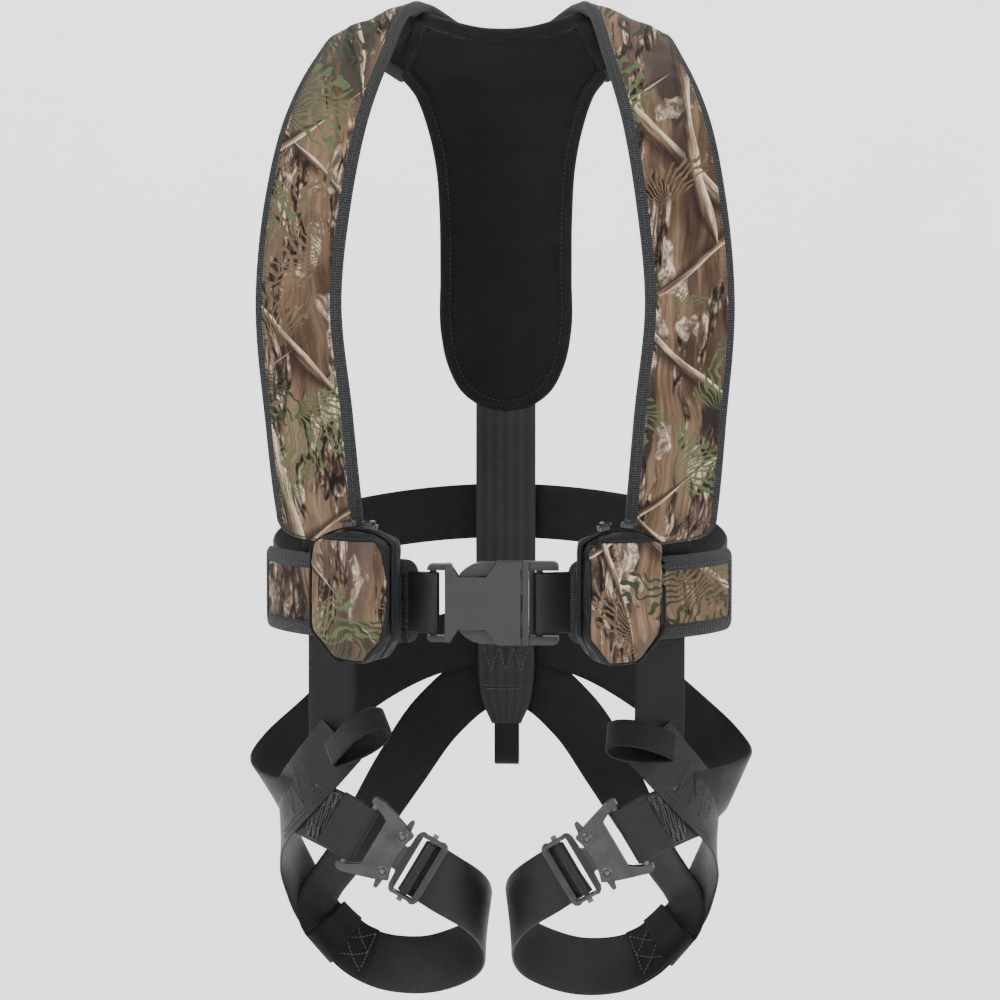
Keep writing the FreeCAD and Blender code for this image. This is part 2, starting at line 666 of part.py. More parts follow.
def leg_socket(name, side):
    face = plate_face()
    reach = PLATE_GAP / 2
    plates = [prism(face, reach, reach + PLATE_T), prism(face, -reach - PLATE_T, -reach)]
    holes = [
        Part.makeCylinder(PIN_R + 0.05, 20, V(0, -34, 0), V(0, 1, 0)),
        Part.makeCylinder(PIN_R + 0.05, 20, V(0, 14, 0), V(0, 1, 0)),
        Part.makeCylinder(2.3, 12, V(RIVET.x, RIVET.y, -6)),
        Part.makeCylinder(2.3, 12, V(RIVET.x, -RIVET.y, -6)),
    ]
    spacer = box((13, 16), (-19, 19), (-reach, reach))
    ends = [box((-4.5, 6), sorted((s * 26, s * 30.5)), (-reach, reach)) for s in (1, -1)]
    body = fused([*plates, spacer, *ends])
    for hole in holes:
        body = body.cut(hole)
    add("leg_socket_" + name, leg_place(body, side))


def rivet(s):
    """One rivet: a shank between two low domed heads."""
    reach = PLATE_GAP / 2 + PLATE_T
    at = V(RIVET.x, s * RIVET.y, 0)
    pieces = [Part.makeCylinder(2.2, 2 * reach, at - V(0, 0, reach))]
    for end in (1, -1):
        ball = Part.makeSphere(7.0, at + V(0, 0, end * (reach - 5.0)))
        cap = Part.makeCylinder(4.3, 3.0, at + V(0, 0, end * (reach + 0.02)), V(0, 0, end))
        pieces.append(ball.common(cap))
    return fused(pieces)


def leg_rivets():
    """Both buckles' rivets and webbing pins."""
    solids = []
    for side in SIDES.values():
        solids += [leg_place(rivet(s), side) for s in (1, -1)]
        solids.append(leg_place(Part.makeCylinder(PIN_R, 60, V(0, -30, 0), V(0, 1, 0)), side))
    add("leg_rivets", *solids)


TAB = [(25.5, 16), (28.3, 28), (32.1, 28), (32.8, 22), (32.5, 16)]
TAIL = [(18.5, 14), (18.5, 19), (27, 19.5), (29, 12.4), (27, 12.0)]


def leg_lever(name, where, side):
    """A latch lever turning on its rivet, with a finger tab out past the plates."""
    s = -1 if where == "upper" else 1
    low, deep = -2.1, V(0, 0, 4.2)
    hub = Part.makeCylinder(4.4, deep.z, V(RIVET.x, s * RIVET.y, low))
    tip = Part.makeCylinder(1.9, deep.z, V(30.2, s * 28.0, low))
    tab = polygon([V(x, s * y, low) for x, y in TAB])
    tail = polygon([V(x, s * y, low) for x, y in TAIL])
    body = fused([hub, tab.extrude(deep), tip, tail.extrude(deep)])
    bore = Part.makeCylinder(2.26, 6, V(RIVET.x, s * RIVET.y, -3))
    add(f"leg_lever_{where}_{name}", leg_place(body.cut(bore), side))


def tongue_face():
    """The tongue: a neck that enters the socket, and a frame with an ear at each corner."""
    edge = [
        (19, 7), (21, 10), (36.5, 10), (37.5, 11.5), (38.0, 22), (39.5, 25.2), (42.0, 26.8), (44.6, 26.4),
        (46.5, 24.6), (55.5, 24.6), (57.4, 26.8), (60.0, 27.4), (62.6, 26.2), (64.2, 23.6), (64.5, 20.5),
    ]
    return polygon([V(x, -y, 0) for x, y in edge] + [V(x, y, 0) for x, y in edge[::-1]])


SLOT = (43.0, 59.0)
SLOT_HALF = 23.4
BAR_T = 51.0  # the slide bar, along the tongue


def leg_tongue(name, side):
    slot = box(SLOT, (-SLOT_HALF, SLOT_HALF), (-4, 4))
    plate = prism(tongue_face(), -TONGUE_T / 2, TONGUE_T / 2).cut(slot)
    rails = [box((SLOT[0] - 1, SLOT[1] + 1), sorted((s * SLOT_HALF, s * 26)), (-3.6, 3.6)) for s in (1, -1)]
    body = fused([plate, *rails])
    for s in (1, -1):
        body = body.cut(box((BAR_T - 5.2, BAR_T + 5.2), sorted((s * 23, s * 30)), (-1.3, 1.3)))
    add("leg_tongue_" + name, leg_place(body, side))
    bar = box((BAR_T - 2.2, BAR_T + 2.2), (-29.5, 29.5), (-1.0, 1.0))
    add("slide_bar_" + name, leg_place(bar, side))


def tongue_webbing(name, side):
    """The doubled end of the thigh strap, threaded round the slide bar."""
    r_in, r_out = 3.0, 3.0 + WEB_T
    wrap = Part.makeCylinder(r_out, 44, V(BAR_T, -22, 0), V(0, 1, 0))
    wrap = wrap.cut(Part.makeCylinder(r_in, 46, V(BAR_T, -23, 0), V(0, 1, 0)))
    wrap = wrap.cut(box((BAR_T, BAR_T + 9), (-23, 23), (-9, -1.5)))
    tail = box((BAR_T - 0.5, BAR_T + 12), (-22, 22), (-r_out, -r_in))
    add("tongue_webbing_" + name, leg_place(fused([wrap, tail]), side))


def buckle_webbing(name, side):
    """The short strap from the hip to the socket's pin, with its sewn patch."""
    fold = Part.makeCylinder(PIN_R + GAP + WEB_T, WEB, V(0, -WEB / 2, 0), V(0, 1, 0))
    hole = Part.makeCylinder(PIN_R + GAP, WEB + 2, V(0, -WEB / 2 - 1, 0), V(0, 1, 0))
    placed = leg_place(fold.cut(hole), side)
    add("buckle_webbing_" + name, placed, ribbon(stations(PATCH, side), -WEB_T, WEB_T))


# ---- build ----
def build():
    yoke()
    add("back_webbing", ribbon(stations(BACK), -BACK_WEB_T / 2, BACK_WEB_T / 2))
    add("tail_loop", tail_loop())
    add("back_belt", ribbon(stations(both_halves(BACK_BELT_PATH)), -WEB_T / 2, WEB_T / 2))
    add("hip_band", ribbon(hip_path(), -WEB_T / 2, WEB_T / 2))
    add("seat_strap", ribbon(stations(both_halves(SEAT_STRAP)), -WEB_T / 2, WEB_T / 2))
    belt_socket()
    belt_plug()
    plug_arm("upper", 1)
    plug_arm("lower", -1)
    leg_rivets()
    for name, side in SIDES.items():
        shoulder_strap(name, side)
        load_webbing(name, side)
        waist_panel(name, side)
        belt_webbing(name, side)
        pouch(name, side)
        add("thigh_strap_" + name, ribbon(stations(THIGH, side), -WEB_T / 2, WEB_T / 2))
        lineman_loop(name, side)
        buckle_webbing(name, side)
        keeper(name, side)
        leg_socket(name, side)
        leg_tongue(name, side)
        tongue_webbing(name, side)
        for where in ("upper", "lower"):
            leg_lever(name, where, side)


os.makedirs("parts", exist_ok=True)
build()
for node, shape in PARTS.items():
    shape.exportStep(f"parts/{node}.step")
print(len(PARTS), "nodes")
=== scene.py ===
import math

import bmesh
import bpy
import numpy as np
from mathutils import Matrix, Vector
from mathutils.bvhtree import BVHTree


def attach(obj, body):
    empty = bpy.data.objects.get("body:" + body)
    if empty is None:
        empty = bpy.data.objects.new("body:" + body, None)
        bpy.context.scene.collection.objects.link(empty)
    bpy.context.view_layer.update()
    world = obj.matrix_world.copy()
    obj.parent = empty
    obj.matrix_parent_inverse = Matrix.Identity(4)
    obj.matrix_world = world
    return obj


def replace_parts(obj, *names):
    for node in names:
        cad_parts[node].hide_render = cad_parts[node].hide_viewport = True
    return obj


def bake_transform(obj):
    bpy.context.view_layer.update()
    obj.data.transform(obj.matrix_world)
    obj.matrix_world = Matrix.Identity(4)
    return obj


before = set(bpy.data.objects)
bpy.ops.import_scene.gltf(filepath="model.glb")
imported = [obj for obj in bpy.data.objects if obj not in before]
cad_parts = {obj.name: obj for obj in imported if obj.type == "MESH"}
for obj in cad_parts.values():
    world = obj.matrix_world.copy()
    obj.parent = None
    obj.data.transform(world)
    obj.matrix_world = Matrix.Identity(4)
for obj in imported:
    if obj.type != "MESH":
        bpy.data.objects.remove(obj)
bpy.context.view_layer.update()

MM = 0.001
SIDES = {"left": 1, "right": -1}
PAD_COLUMNS = 22


# ---- curves and strips ----
def unit(v):
    return v / np.maximum(np.linalg.norm(v, axis=-1, keepdims=True), 1e-12)


def distances(points):
    """How far along its line each point is."""
    return np.concatenate([[0], np.cumsum(np.linalg.norm(np.diff(points, axis=0), axis=1))])


def smooth(rows, step):
    """A smooth curve through rows of numbers, sampled every step along its first three."""
    rows = np.array(rows, float)
    knots = distances(rows[:, :3])
    slopes = np.gradient(rows, knots, axis=0)
    t = np.linspace(0, knots[-1], max(4, round(knots[-1] / step) + 1))
    i = np.clip(np.searchsorted(knots, t, side="right") - 1, 0, len(rows) - 2)
    h = (knots[i + 1] - knots[i])[:, None]
    u = ((t - knots[i])[:, None]) / h
    a, b = rows[i], rows[i + 1]
    return (
        (2 * u**3 - 3 * u**2 + 1) * a
        + (u**3 - 2 * u**2 + u) * h * slopes[i]
        + (3 * u**2 - 2 * u**3) * b
        + (u**3 - u**2) * h * slopes[i + 1]
    )


def along_line(s, run, rows):
    """The row at a distance along a line, between the rows given at the distances in run."""
    return np.array([np.interp(s, run, rows[:, c]) for c in range(3)])


class Track:
    """A curved strip's middle line in metres, with its directions along, across and out of the strip."""

    def __init__(self, rows, side=1, step=3.0, lift=0.0):
        rows = np.array(rows, float)
        rows[:, (0, 3)] *= side
        found = smooth(rows, step)
        self.along = unit(np.gradient(found[:, :3], axis=0))
        self.across = unit(np.cross(self.along, found[:, 3:6])) * side
        self.out = unit(np.cross(self.across, self.along)) * side
        self.centre = found[:, :3] * MM + self.out * lift * MM
        self.half = found[:, 6] * MM / 2
        self.run = distances(self.centre)

    def at(self, s, u, h=0.0):
        """(point, along, across, out) at s metres along, u across and h above."""
        rows = (self.centre, self.along, self.across, self.out)
        centre, along, across, out = (along_line(s, self.run, row) for row in rows)
        return centre + across * u + out * h, along, across, out


def link(name, data):
    obj = bpy.data.objects.new(name, data)
    bpy.context.scene.collection.objects.link(obj)
    return obj


def mesh_object(name, verts, faces, uvs=None, material=None):
    mesh = bpy.data.meshes.new(name)
    mesh.from_pydata([tuple(v) for v in verts], [], faces)
    if uvs is not None:
        layer = mesh.uv_layers.new(name="UVMap")
        flat = np.array([uv for corners in uvs for uv in corners], np.float32)
        layer.data.foreach_set("uv", flat.ravel())
    bm = bmesh.new()
    bm.from_mesh(mesh)
    bmesh.ops.recalc_face_normals(bm, faces=bm.faces)
    bm.to_mesh(mesh)
    bm.free()
    mesh.polygons.foreach_set("use_smooth", [True] * len(mesh.polygons))
    obj = link(name + "_cloth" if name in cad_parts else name, mesh)
    if material:
        mesh.materials.append(material)
    return obj


def around(a, b, size):
    """The faces between two rings of points that start at the indices a and b."""
    return [(a + k, a + (k + 1) % size, b + (k + 1) % size, b + k) for k in range(size)]


def stands_for_node(obj):
    """The piece takes the place of the CAD node it is named after."""
    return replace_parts(obj, obj.name.removesuffix("_cloth"))


def skin(name, sections, runs, wide, material, closed=False):
    """A tube through sections of points, with the distances along and across it as its UVs, for the weave."""
    count, size = len(sections), len(sections[0])
    verts = [p for section in sections for p in section]
    faces, uvs = [], []
    gap = runs[-1] - runs[-2]
    for i in range(count if closed else count - 1):
        j = (i + 1) % count
        v0, v1 = runs[i], runs[i] + gap if j == 0 else runs[j]
        for k in range(size):
            m = (k + 1) % size
            faces.append((i * size + k, i * size + m, j * size + m, j * size + k))
            uvs.append([(wide[k], v0), (wide[m], v0), (wide[m], v1), (wide[k], v1)])
    if not closed:
        for i, run in ((0, runs[0]), (count - 1, runs[-1])):
            faces.append(tuple(i * size + k for k in range(size)))
            uvs.append([(wide[k], run) for k in range(size)])
    return mesh_object(name, verts, faces, uvs, material)


def web_profile(half, thick):
    """A flat webbing's section: (across, height) points with rounded edges."""
    r = thick / 2
    top = [(u, r) for u in np.linspace(-half + r, half - r, 9)]
    right = [(half - r + r * math.sin(k * math.pi / 4), r * math.cos(k * math.pi / 4)) for k in (1, 2, 3)]
    return top + right + [(-u, -h) for u, h in top] + [(-u, -h) for u, h in right]


def webbing(name, track, thick=1.9, material=None, ripple=0.35):
    """Flat woven webbing along a track, with the slight waviness of worn straps."""
    sections = []
    for i, s in enumerate(track.run):
        profile = web_profile(track.half[i], thick * MM)
        wave = ripple * MM * math.sin(s * 70 + track.half[0] * 900)
        sections.append([
            track.centre[i] + track.across[i] * u + track.out[i] * (h + wave * (1 - (u / track.half[i]) ** 2))
            for u, h in profile
        ])
    wide = [u for u, _ in web_profile(track.half[0], thick * MM)]
    return skin(name, sections, track.run, wide, material or WEBBING)


def sweep_edge(name, points, outs, normals, profile, material, closed):
    """Carries a profile of (outward, normal) distances along an edge."""
    sections = [[p + e * a + n * b for a, b in profile] for p, e, n in zip(points, outs, normals)]
    return skin(name, sections, distances(points), distances(np.array(profile)), material, closed)


def tape_profile(width, half, skirt):
    """Edge tape folded over a pad: half is the pad's half thickness under it, skirt where the tape ends."""
    w, t = width * MM, 0.9 * MM
    a, b = half * MM, skirt * MM
    outer = [(-w, b + t), (-0.55 * w, a + t + 0.3 * MM), (-0.12 * w, a + t)]
    outer += [(0.5 * MM, 0.6 * a), (0.9 * MM, 0)]
    inner = [(-w, b), (-0.5 * w, a), (-0.15 * w, a * 0.8), (-0.05 * w, 0)]
    return outer + [(e, -n) for e, n in outer[-2::-1]] + [(e, -n) for e, n in inner[:-1]] + inner[::-1]


def strip_edge(track, radius, closed):
    """(points, outward, normals) round a strip's edge, corners rounded; open at its far end unless closed."""
    r, end = radius * MM, track.run[-1]
    walk = []

    def half(s):
        return np.interp(s, track.run, track.half)

    def side(u_sign, s_values):
        walk.extend((s, u_sign * half(s), 0.0, u_sign) for s in s_values)

    def corner(s0, direction, u_sign, rising):
        angles = np.linspace(0, math.pi / 2, 7)
        for a in angles if rising else angles[::-1]:
            es, eu = -direction * math.sin(a), u_sign * math.cos(a)
            walk.append((s0 + direction * r + es * r, u_sign * (half(s0) - r) + eu * r, es, eu))

    run = np.arange(r, end - (r if closed else 0), 3 * MM)
    side(1, run[::-1])
    corner(0, 1, 1, True)
    walk.extend((0, u, -1.0, 0.0) for u in np.linspace(half(0) - r, -half(0) + r, 14)[1:-1])
    corner(0, 1, -1, False)
    side(-1, run)
    if closed:
        corner(end, -1, -1, True)
        walk.extend((end, u, 1.0, 0.0) for u in np.linspace(-half(end) + r, half(end) - r, 14)[1:-1])
        corner(end, -1, 1, False)
    points, outs, normals = [], [], []
    for s, u, es, eu in walk:
        p, along, across, out = track.at(min(max(s, 0), end), u)
        points.append(p)
        outs.append(along * es + across * eu)
        normals.append(out)
    return np.array(points), unit(np.array(outs)), np.array(normals)


def pad(name, track, low, high, crown, radius, closed, material, side_rows=PAD_COLUMNS):
    """A stuffed strip between two heights: domed outside, its corners rounded at the ends that are bound."""
    r, end = radius * MM, track.run[-1]
    u = np.linspace(-1, 1, side_rows)
    sections = []
    for s in np.linspace(0, end, max(8, round(end / (5 * MM)))):
        base = np.interp(s, track.run, track.half) - 2 * MM
        near = min(s, end - s) if closed else s
        cut = r - math.sqrt(max(r * r - (r - min(near, r)) ** 2, 0))
        half = base - cut
        dome = crown * MM * math.sqrt(min(near / (12 * MM), 1))
        section = []
        for k in u:
            p, _, _, out = track.at(s, k * half)
            section.append(p + out * (high * MM + dome * (1 - k**4)))
        for k in u[::-1]:
            p, _, _, out = track.at(s, k * half)
            section.append(p + out * low * MM)
        sections.append(section)
    wide = list(u * track.half[0]) + list(u[::-1] * track.half[0])
    runs = np.linspace(0, end, len(sections))
    return skin(name, sections, runs, wide, material)


# ---- stitches ----
def stitch(name, lines, body, length=2.4, gap=1.5, radius=0.33, material=None):
    """Thread dashes along lines of (points, normals)."""
    verts, faces = [], []
    for points, normals in lines:
        points, normals = np.array(points, float), np.array(normals, float)
        run = distances(points)
        pitch = (length + gap) * MM
        for k in range(int(run[-1] / pitch)):
            start, end = along_line(k * pitch, run, points), along_line(k * pitch + length * MM, run, points)
            n = unit(along_line(k * pitch, run, normals))
            along = unit(end - start)
            across = np.cross(along, n)
            base = len(verts)
            for share, fat in ((0.0, 0.35), (0.25, 1.0), (0.75, 1.0), (1.0, 0.35)):
                at = start + (end - start) * share
                for a in range(6):
                    t = a * math.pi / 3
                    verts.append(at + (across * math.cos(t) + n * math.sin(t)) * radius * fat * MM)
            for ring in range(3):
                for a in range(6):
                    low, b = base + ring * 6, (a + 1) % 6
                    faces.append((low + a, low + b, low + 6 + b, low + 6 + a))
            faces.append(tuple(base + a for a in range(6)))
            faces.append(tuple(base + 18 + a for a in range(6)))
    obj = mesh_object(name, verts, faces, None, material or THREAD)
    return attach(obj, body)


def straight(track, corners, h):
    """Straight stitching lines between corners, each (mm along, mm across)."""
    points, normals = [], []
    for (s0, u0), (s1, u1) in zip(corners, corners[1:]):
        count = max(2, round(math.hypot(s1 - s0, u1 - u0) / 2))
        for k in range(count):
            s, u = s0 + (s1 - s0) * k / count, u0 + (u1 - u0) * k / count
            p, _, _, out = track.at(s * MM, u * MM, h * MM)
            points.append(p)
            normals.append(out * (1 if h > 0 else -1))
    return points, normals


# ---- cloth ----
def inflate(soft, frames=20):
    """Simulates cloth on (object, pressure, growth, cap in mm, pinned vertices) and keeps the result."""
    scene = bpy.context.scene
    rest = {}
    for obj, pressure, grow, _, pinned in soft:
        rest[obj] = np.array([v.co for v in obj.data.vertices])
        cloth = obj.modifiers.new("Cloth", "CLOTH")
        cloth.settings.quality = 6
        cloth.settings.mass = 0.15
        cloth.settings.use_pressure = True
        cloth.settings.uniform_pressure_force = pressure
        cloth.settings.shrink_min = -grow
        cloth.settings.tension_stiffness = 25
        cloth.settings.compression_stiffness = 25
        cloth.settings.bending_stiffness = 0.3
        cloth.settings.effector_weights.gravity = 0
        cloth.collision_settings.use_collision = False
        cloth.point_cache.frame_start, cloth.point_cache.frame_end = 1, frames
        if pinned is not None:
            group = obj.vertex_groups.new(name="pinned")
            group.add([int(i) for i in pinned], 1.0, "REPLACE")
            cloth.settings.vertex_group_mass = "pinned"
    for number in range(1, frames + 1):
        scene.frame_set(number)
    graph = bpy.context.evaluated_depsgraph_get()
    for obj, _, _, cap, _ in soft:
        moved = np.array([v.co for v in obj.evaluated_get(graph).data.vertices]) - rest[obj]
        far = np.linalg.norm(moved, axis=1, keepdims=True)
        kept = rest[obj] + moved * np.minimum(1, cap * MM / np.maximum(far, 1e-9))
        obj.modifiers.remove(obj.modifiers["Cloth"])
        obj.data.vertices.foreach_set("co", kept.astype(np.float32).ravel())
        obj.data.update()
    scene.frame_set(1)


def refine(obj, levels=1):
    """Adds a subdivision surface and applies it."""
    bpy.context.view_layer.objects.active = obj
    obj.modifiers.new("Subdivision", "SUBSURF").levels = levels
    bpy.ops.object.modifier_apply(modifier="Subdivision")
    return obj


# ---- materials ----
class Nodes:
    """A node material: each call adds a node and returns one of its outputs."""

    def __init__(self, name, **values):
        self.material = bpy.data.materials.new(name)
        self.material.use_nodes = True
        self.tree = self.material.node_tree
        self.shader = self.tree.nodes["Principled BSDF"]
        for key, value in values.items():
            self.shader.inputs[key.replace("_", " ")].default_value = value

    def node(self, kind, inputs, output=0, **settings):
        made = self.tree.nodes.new("ShaderNode" + kind)
        for key, value in settings.items():
            setattr(made, key, value)
        for key, value in inputs.items():
            if isinstance(value, bpy.types.NodeSocket):
                self.tree.links.new(value, made.inputs[key])
            elif value is not None:
                made.inputs[key].default_value = value
        return made.outputs[output]

    def where(self, kind="Object"):
        return self.node("TexCoord", {}, kind)

    def turn(self, vector, scale=(1, 1, 1), angle=(0, 0, 0), shift=(0, 0, 0)):
        return self.node("Mapping", {"Vector": vector, "Scale": scale, "Rotation": angle, "Location": shift})

    def noise(self, vector, scale, detail=3.0, rough=0.55, warp=0.0):
        inputs = {"Vector": vector, "Scale": scale, "Detail": detail, "Roughness": rough, "Distortion": warp}
        return self.node("TexNoise", inputs)

    def cells(self, vector, scale, feature="DISTANCE_TO_EDGE", output="Distance"):
        return self.node("TexVoronoi", {"Vector": vector, "Scale": scale}, output, feature=feature)

    def bands(self, vector, period, warp=0.0, detail=1.0, direction="X", warp_scale=1.0):
        """Waves one period wide, in metres, across a direction."""
        inputs = {
            "Vector": vector, "Scale": math.pi / 10 / period, "Distortion": warp, "Detail": detail,
            "Detail Scale": warp_scale,
        }
        return self.node("TexWave", inputs, "Fac", bands_direction=direction)

    def math(self, operation, a, b=None, c=None):
        return self.node("Math", {0: a, 1: b, 2: c}, operation=operation)

    def ramp(self, value, stops, sharp=False):
        out = self.node("ValToRGB", {"Fac": value})
        ramp = out.node.color_ramp
        ramp.interpolation = "CONSTANT" if sharp else "LINEAR"
        while len(ramp.elements) < len(stops):
            ramp.elements.new(0.5)
        for element, (at, colour) in zip(ramp.elements, stops):
            element.position = at
            element.color = (*colour, 1) if isinstance(colour, tuple) else (colour, colour, colour, 1)
        return out

    def mix(self, share, a, b, blend="MIX"):
        a, b = ((*c, 1) if isinstance(c, tuple) else c for c in (a, b))
        return self.node("Mix", {0: share, 6: a, 7: b}, 2, data_type="RGBA", blend_type=blend)

    def bump(self, height, distance, strength=1.0, under=None):
        inputs = {"Height": height, "Distance": distance, "Strength": strength, "Normal": under}
        return self.node("Bump", inputs)

    def done(self, colour=None, rough=None, normal=None):
        for key, value in (("Base Color", colour), ("Roughness", rough), ("Normal", normal)):
            if value is not None:
                self.tree.links.new(value, self.shader.inputs[key])
        return self.material


def webbing_material(name, dark, light, stripes=0.0, stripe_period=0.008, shine=0.2):
    """Satin polyester webbing: fine cross ribs, warp cords along it, a little dust, and broad streaks of
    painted sheen in its colour.
    """
    m = Nodes(name, Specular_IOR_Level=shine, Sheen_Weight=0.02, Sheen_Roughness=0.4)
    uv = m.where("UV")
    ribs = m.bands(uv, 0.0017, direction="Y", warp=0.15)
    cords = m.bands(uv, 0.0011, direction="X")
    wide = m.bands(uv, stripe_period, direction="X")
    weave = m.math("ADD", m.math("MULTIPLY", ribs, 0.7), m.math("MULTIPLY", cords, 0.35))
    # painted sheen: broad stretched streaks lightened into the colour; the same streaks also vary the
    # roughness
    painted_sheen = m.noise(m.turn(m.where(), (14, 14, 22)), 1.0, 3.0, 0.6)
    fuzz = m.noise(m.where(), 900.0, 2.0)
    tone = m.math("ADD", m.math("MULTIPLY", weave, 0.42), m.math("MULTIPLY", painted_sheen, 0.45))
    tone = m.math("ADD", tone, m.math("MULTIPLY", fuzz, 0.16))
    tone = m.math("ADD", tone, m.math("MULTIPLY", wide, stripes))
    colour = m.ramp(tone, [(0.3, dark), (0.95, light)])
    rough = m.ramp(m.math("ADD", painted_sheen, m.math("MULTIPLY", weave, 0.2)), [(0.35, 0.32), (0.75, 0.62)])
    height = m.math("ADD", weave, m.math("MULTIPLY", wide, 2.0 * stripes))
    return m.done(colour, rough, m.bump(height, 0.0004, 0.55))


def tape_material():
    """Charcoal grosgrain: close ribs across the tape, speckled grey."""
    m = Nodes("binding_tape", Specular_IOR_Level=0.12, Sheen_Weight=0.03)
    uv = m.where("UV")
    ribs = m.bands(uv, 0.0019, direction="Y")
    cords = m.bands(uv, 0.0013, direction="X")
    knots = m.math("MULTIPLY", ribs, cords)
    grit = m.noise(m.where(), 1100.0, 2.0)
    tone = m.math("ADD", m.math("MULTIPLY", knots, 0.55), m.math("MULTIPLY", grit, 0.5))
    colour = m.ramp(tone, [
        (0.2, (0.006, 0.0065, 0.007)), (0.5, (0.018, 0.019, 0.021)), (0.85, (0.075, 0.078, 0.082)),
    ])
    rough = m.ramp(grit, [(0.3, 0.7), (0.7, 0.88)])
    return m.done(colour, rough, m.bump(m.math("ADD", ribs, m.math("MULTIPLY", cords, 0.5)), 0.0005, 0.8))


def cloth_material(name, dark, light, grain=0.0012, rough=(0.75, 0.9)):
    """Plain woven cloth with a soft crease pattern."""
    m = Nodes(name, Specular_IOR_Level=0.12, Sheen_Weight=0.02)
    place = m.where()
    weave = m.math("MULTIPLY", m.bands(place, grain, direction="X"), m.bands(place, grain, direction="Z"))
    soft = m.noise(place, 28.0, 4.0, 0.6, 0.4)
    grit = m.noise(place, 1300.0, 2.0)
    tone = m.math("ADD", m.math("MULTIPLY", soft, 0.6), m.math("MULTIPLY", grit, 0.3))
    colour = m.ramp(m.math("ADD", tone, m.math("MULTIPLY", weave, 0.15)), [(0.3, dark), (0.75, light)])
    dull = m.ramp(soft, [(0.3, rough[0]), (0.7, rough[1])])
    folds = m.bump(m.noise(place, 55.0, 2.0, 0.5, 0.3), 0.0012, 0.35)
    return m.done(colour, dull, m.bump(m.math("ADD", weave, grit), 0.0002, 0.6, folds))


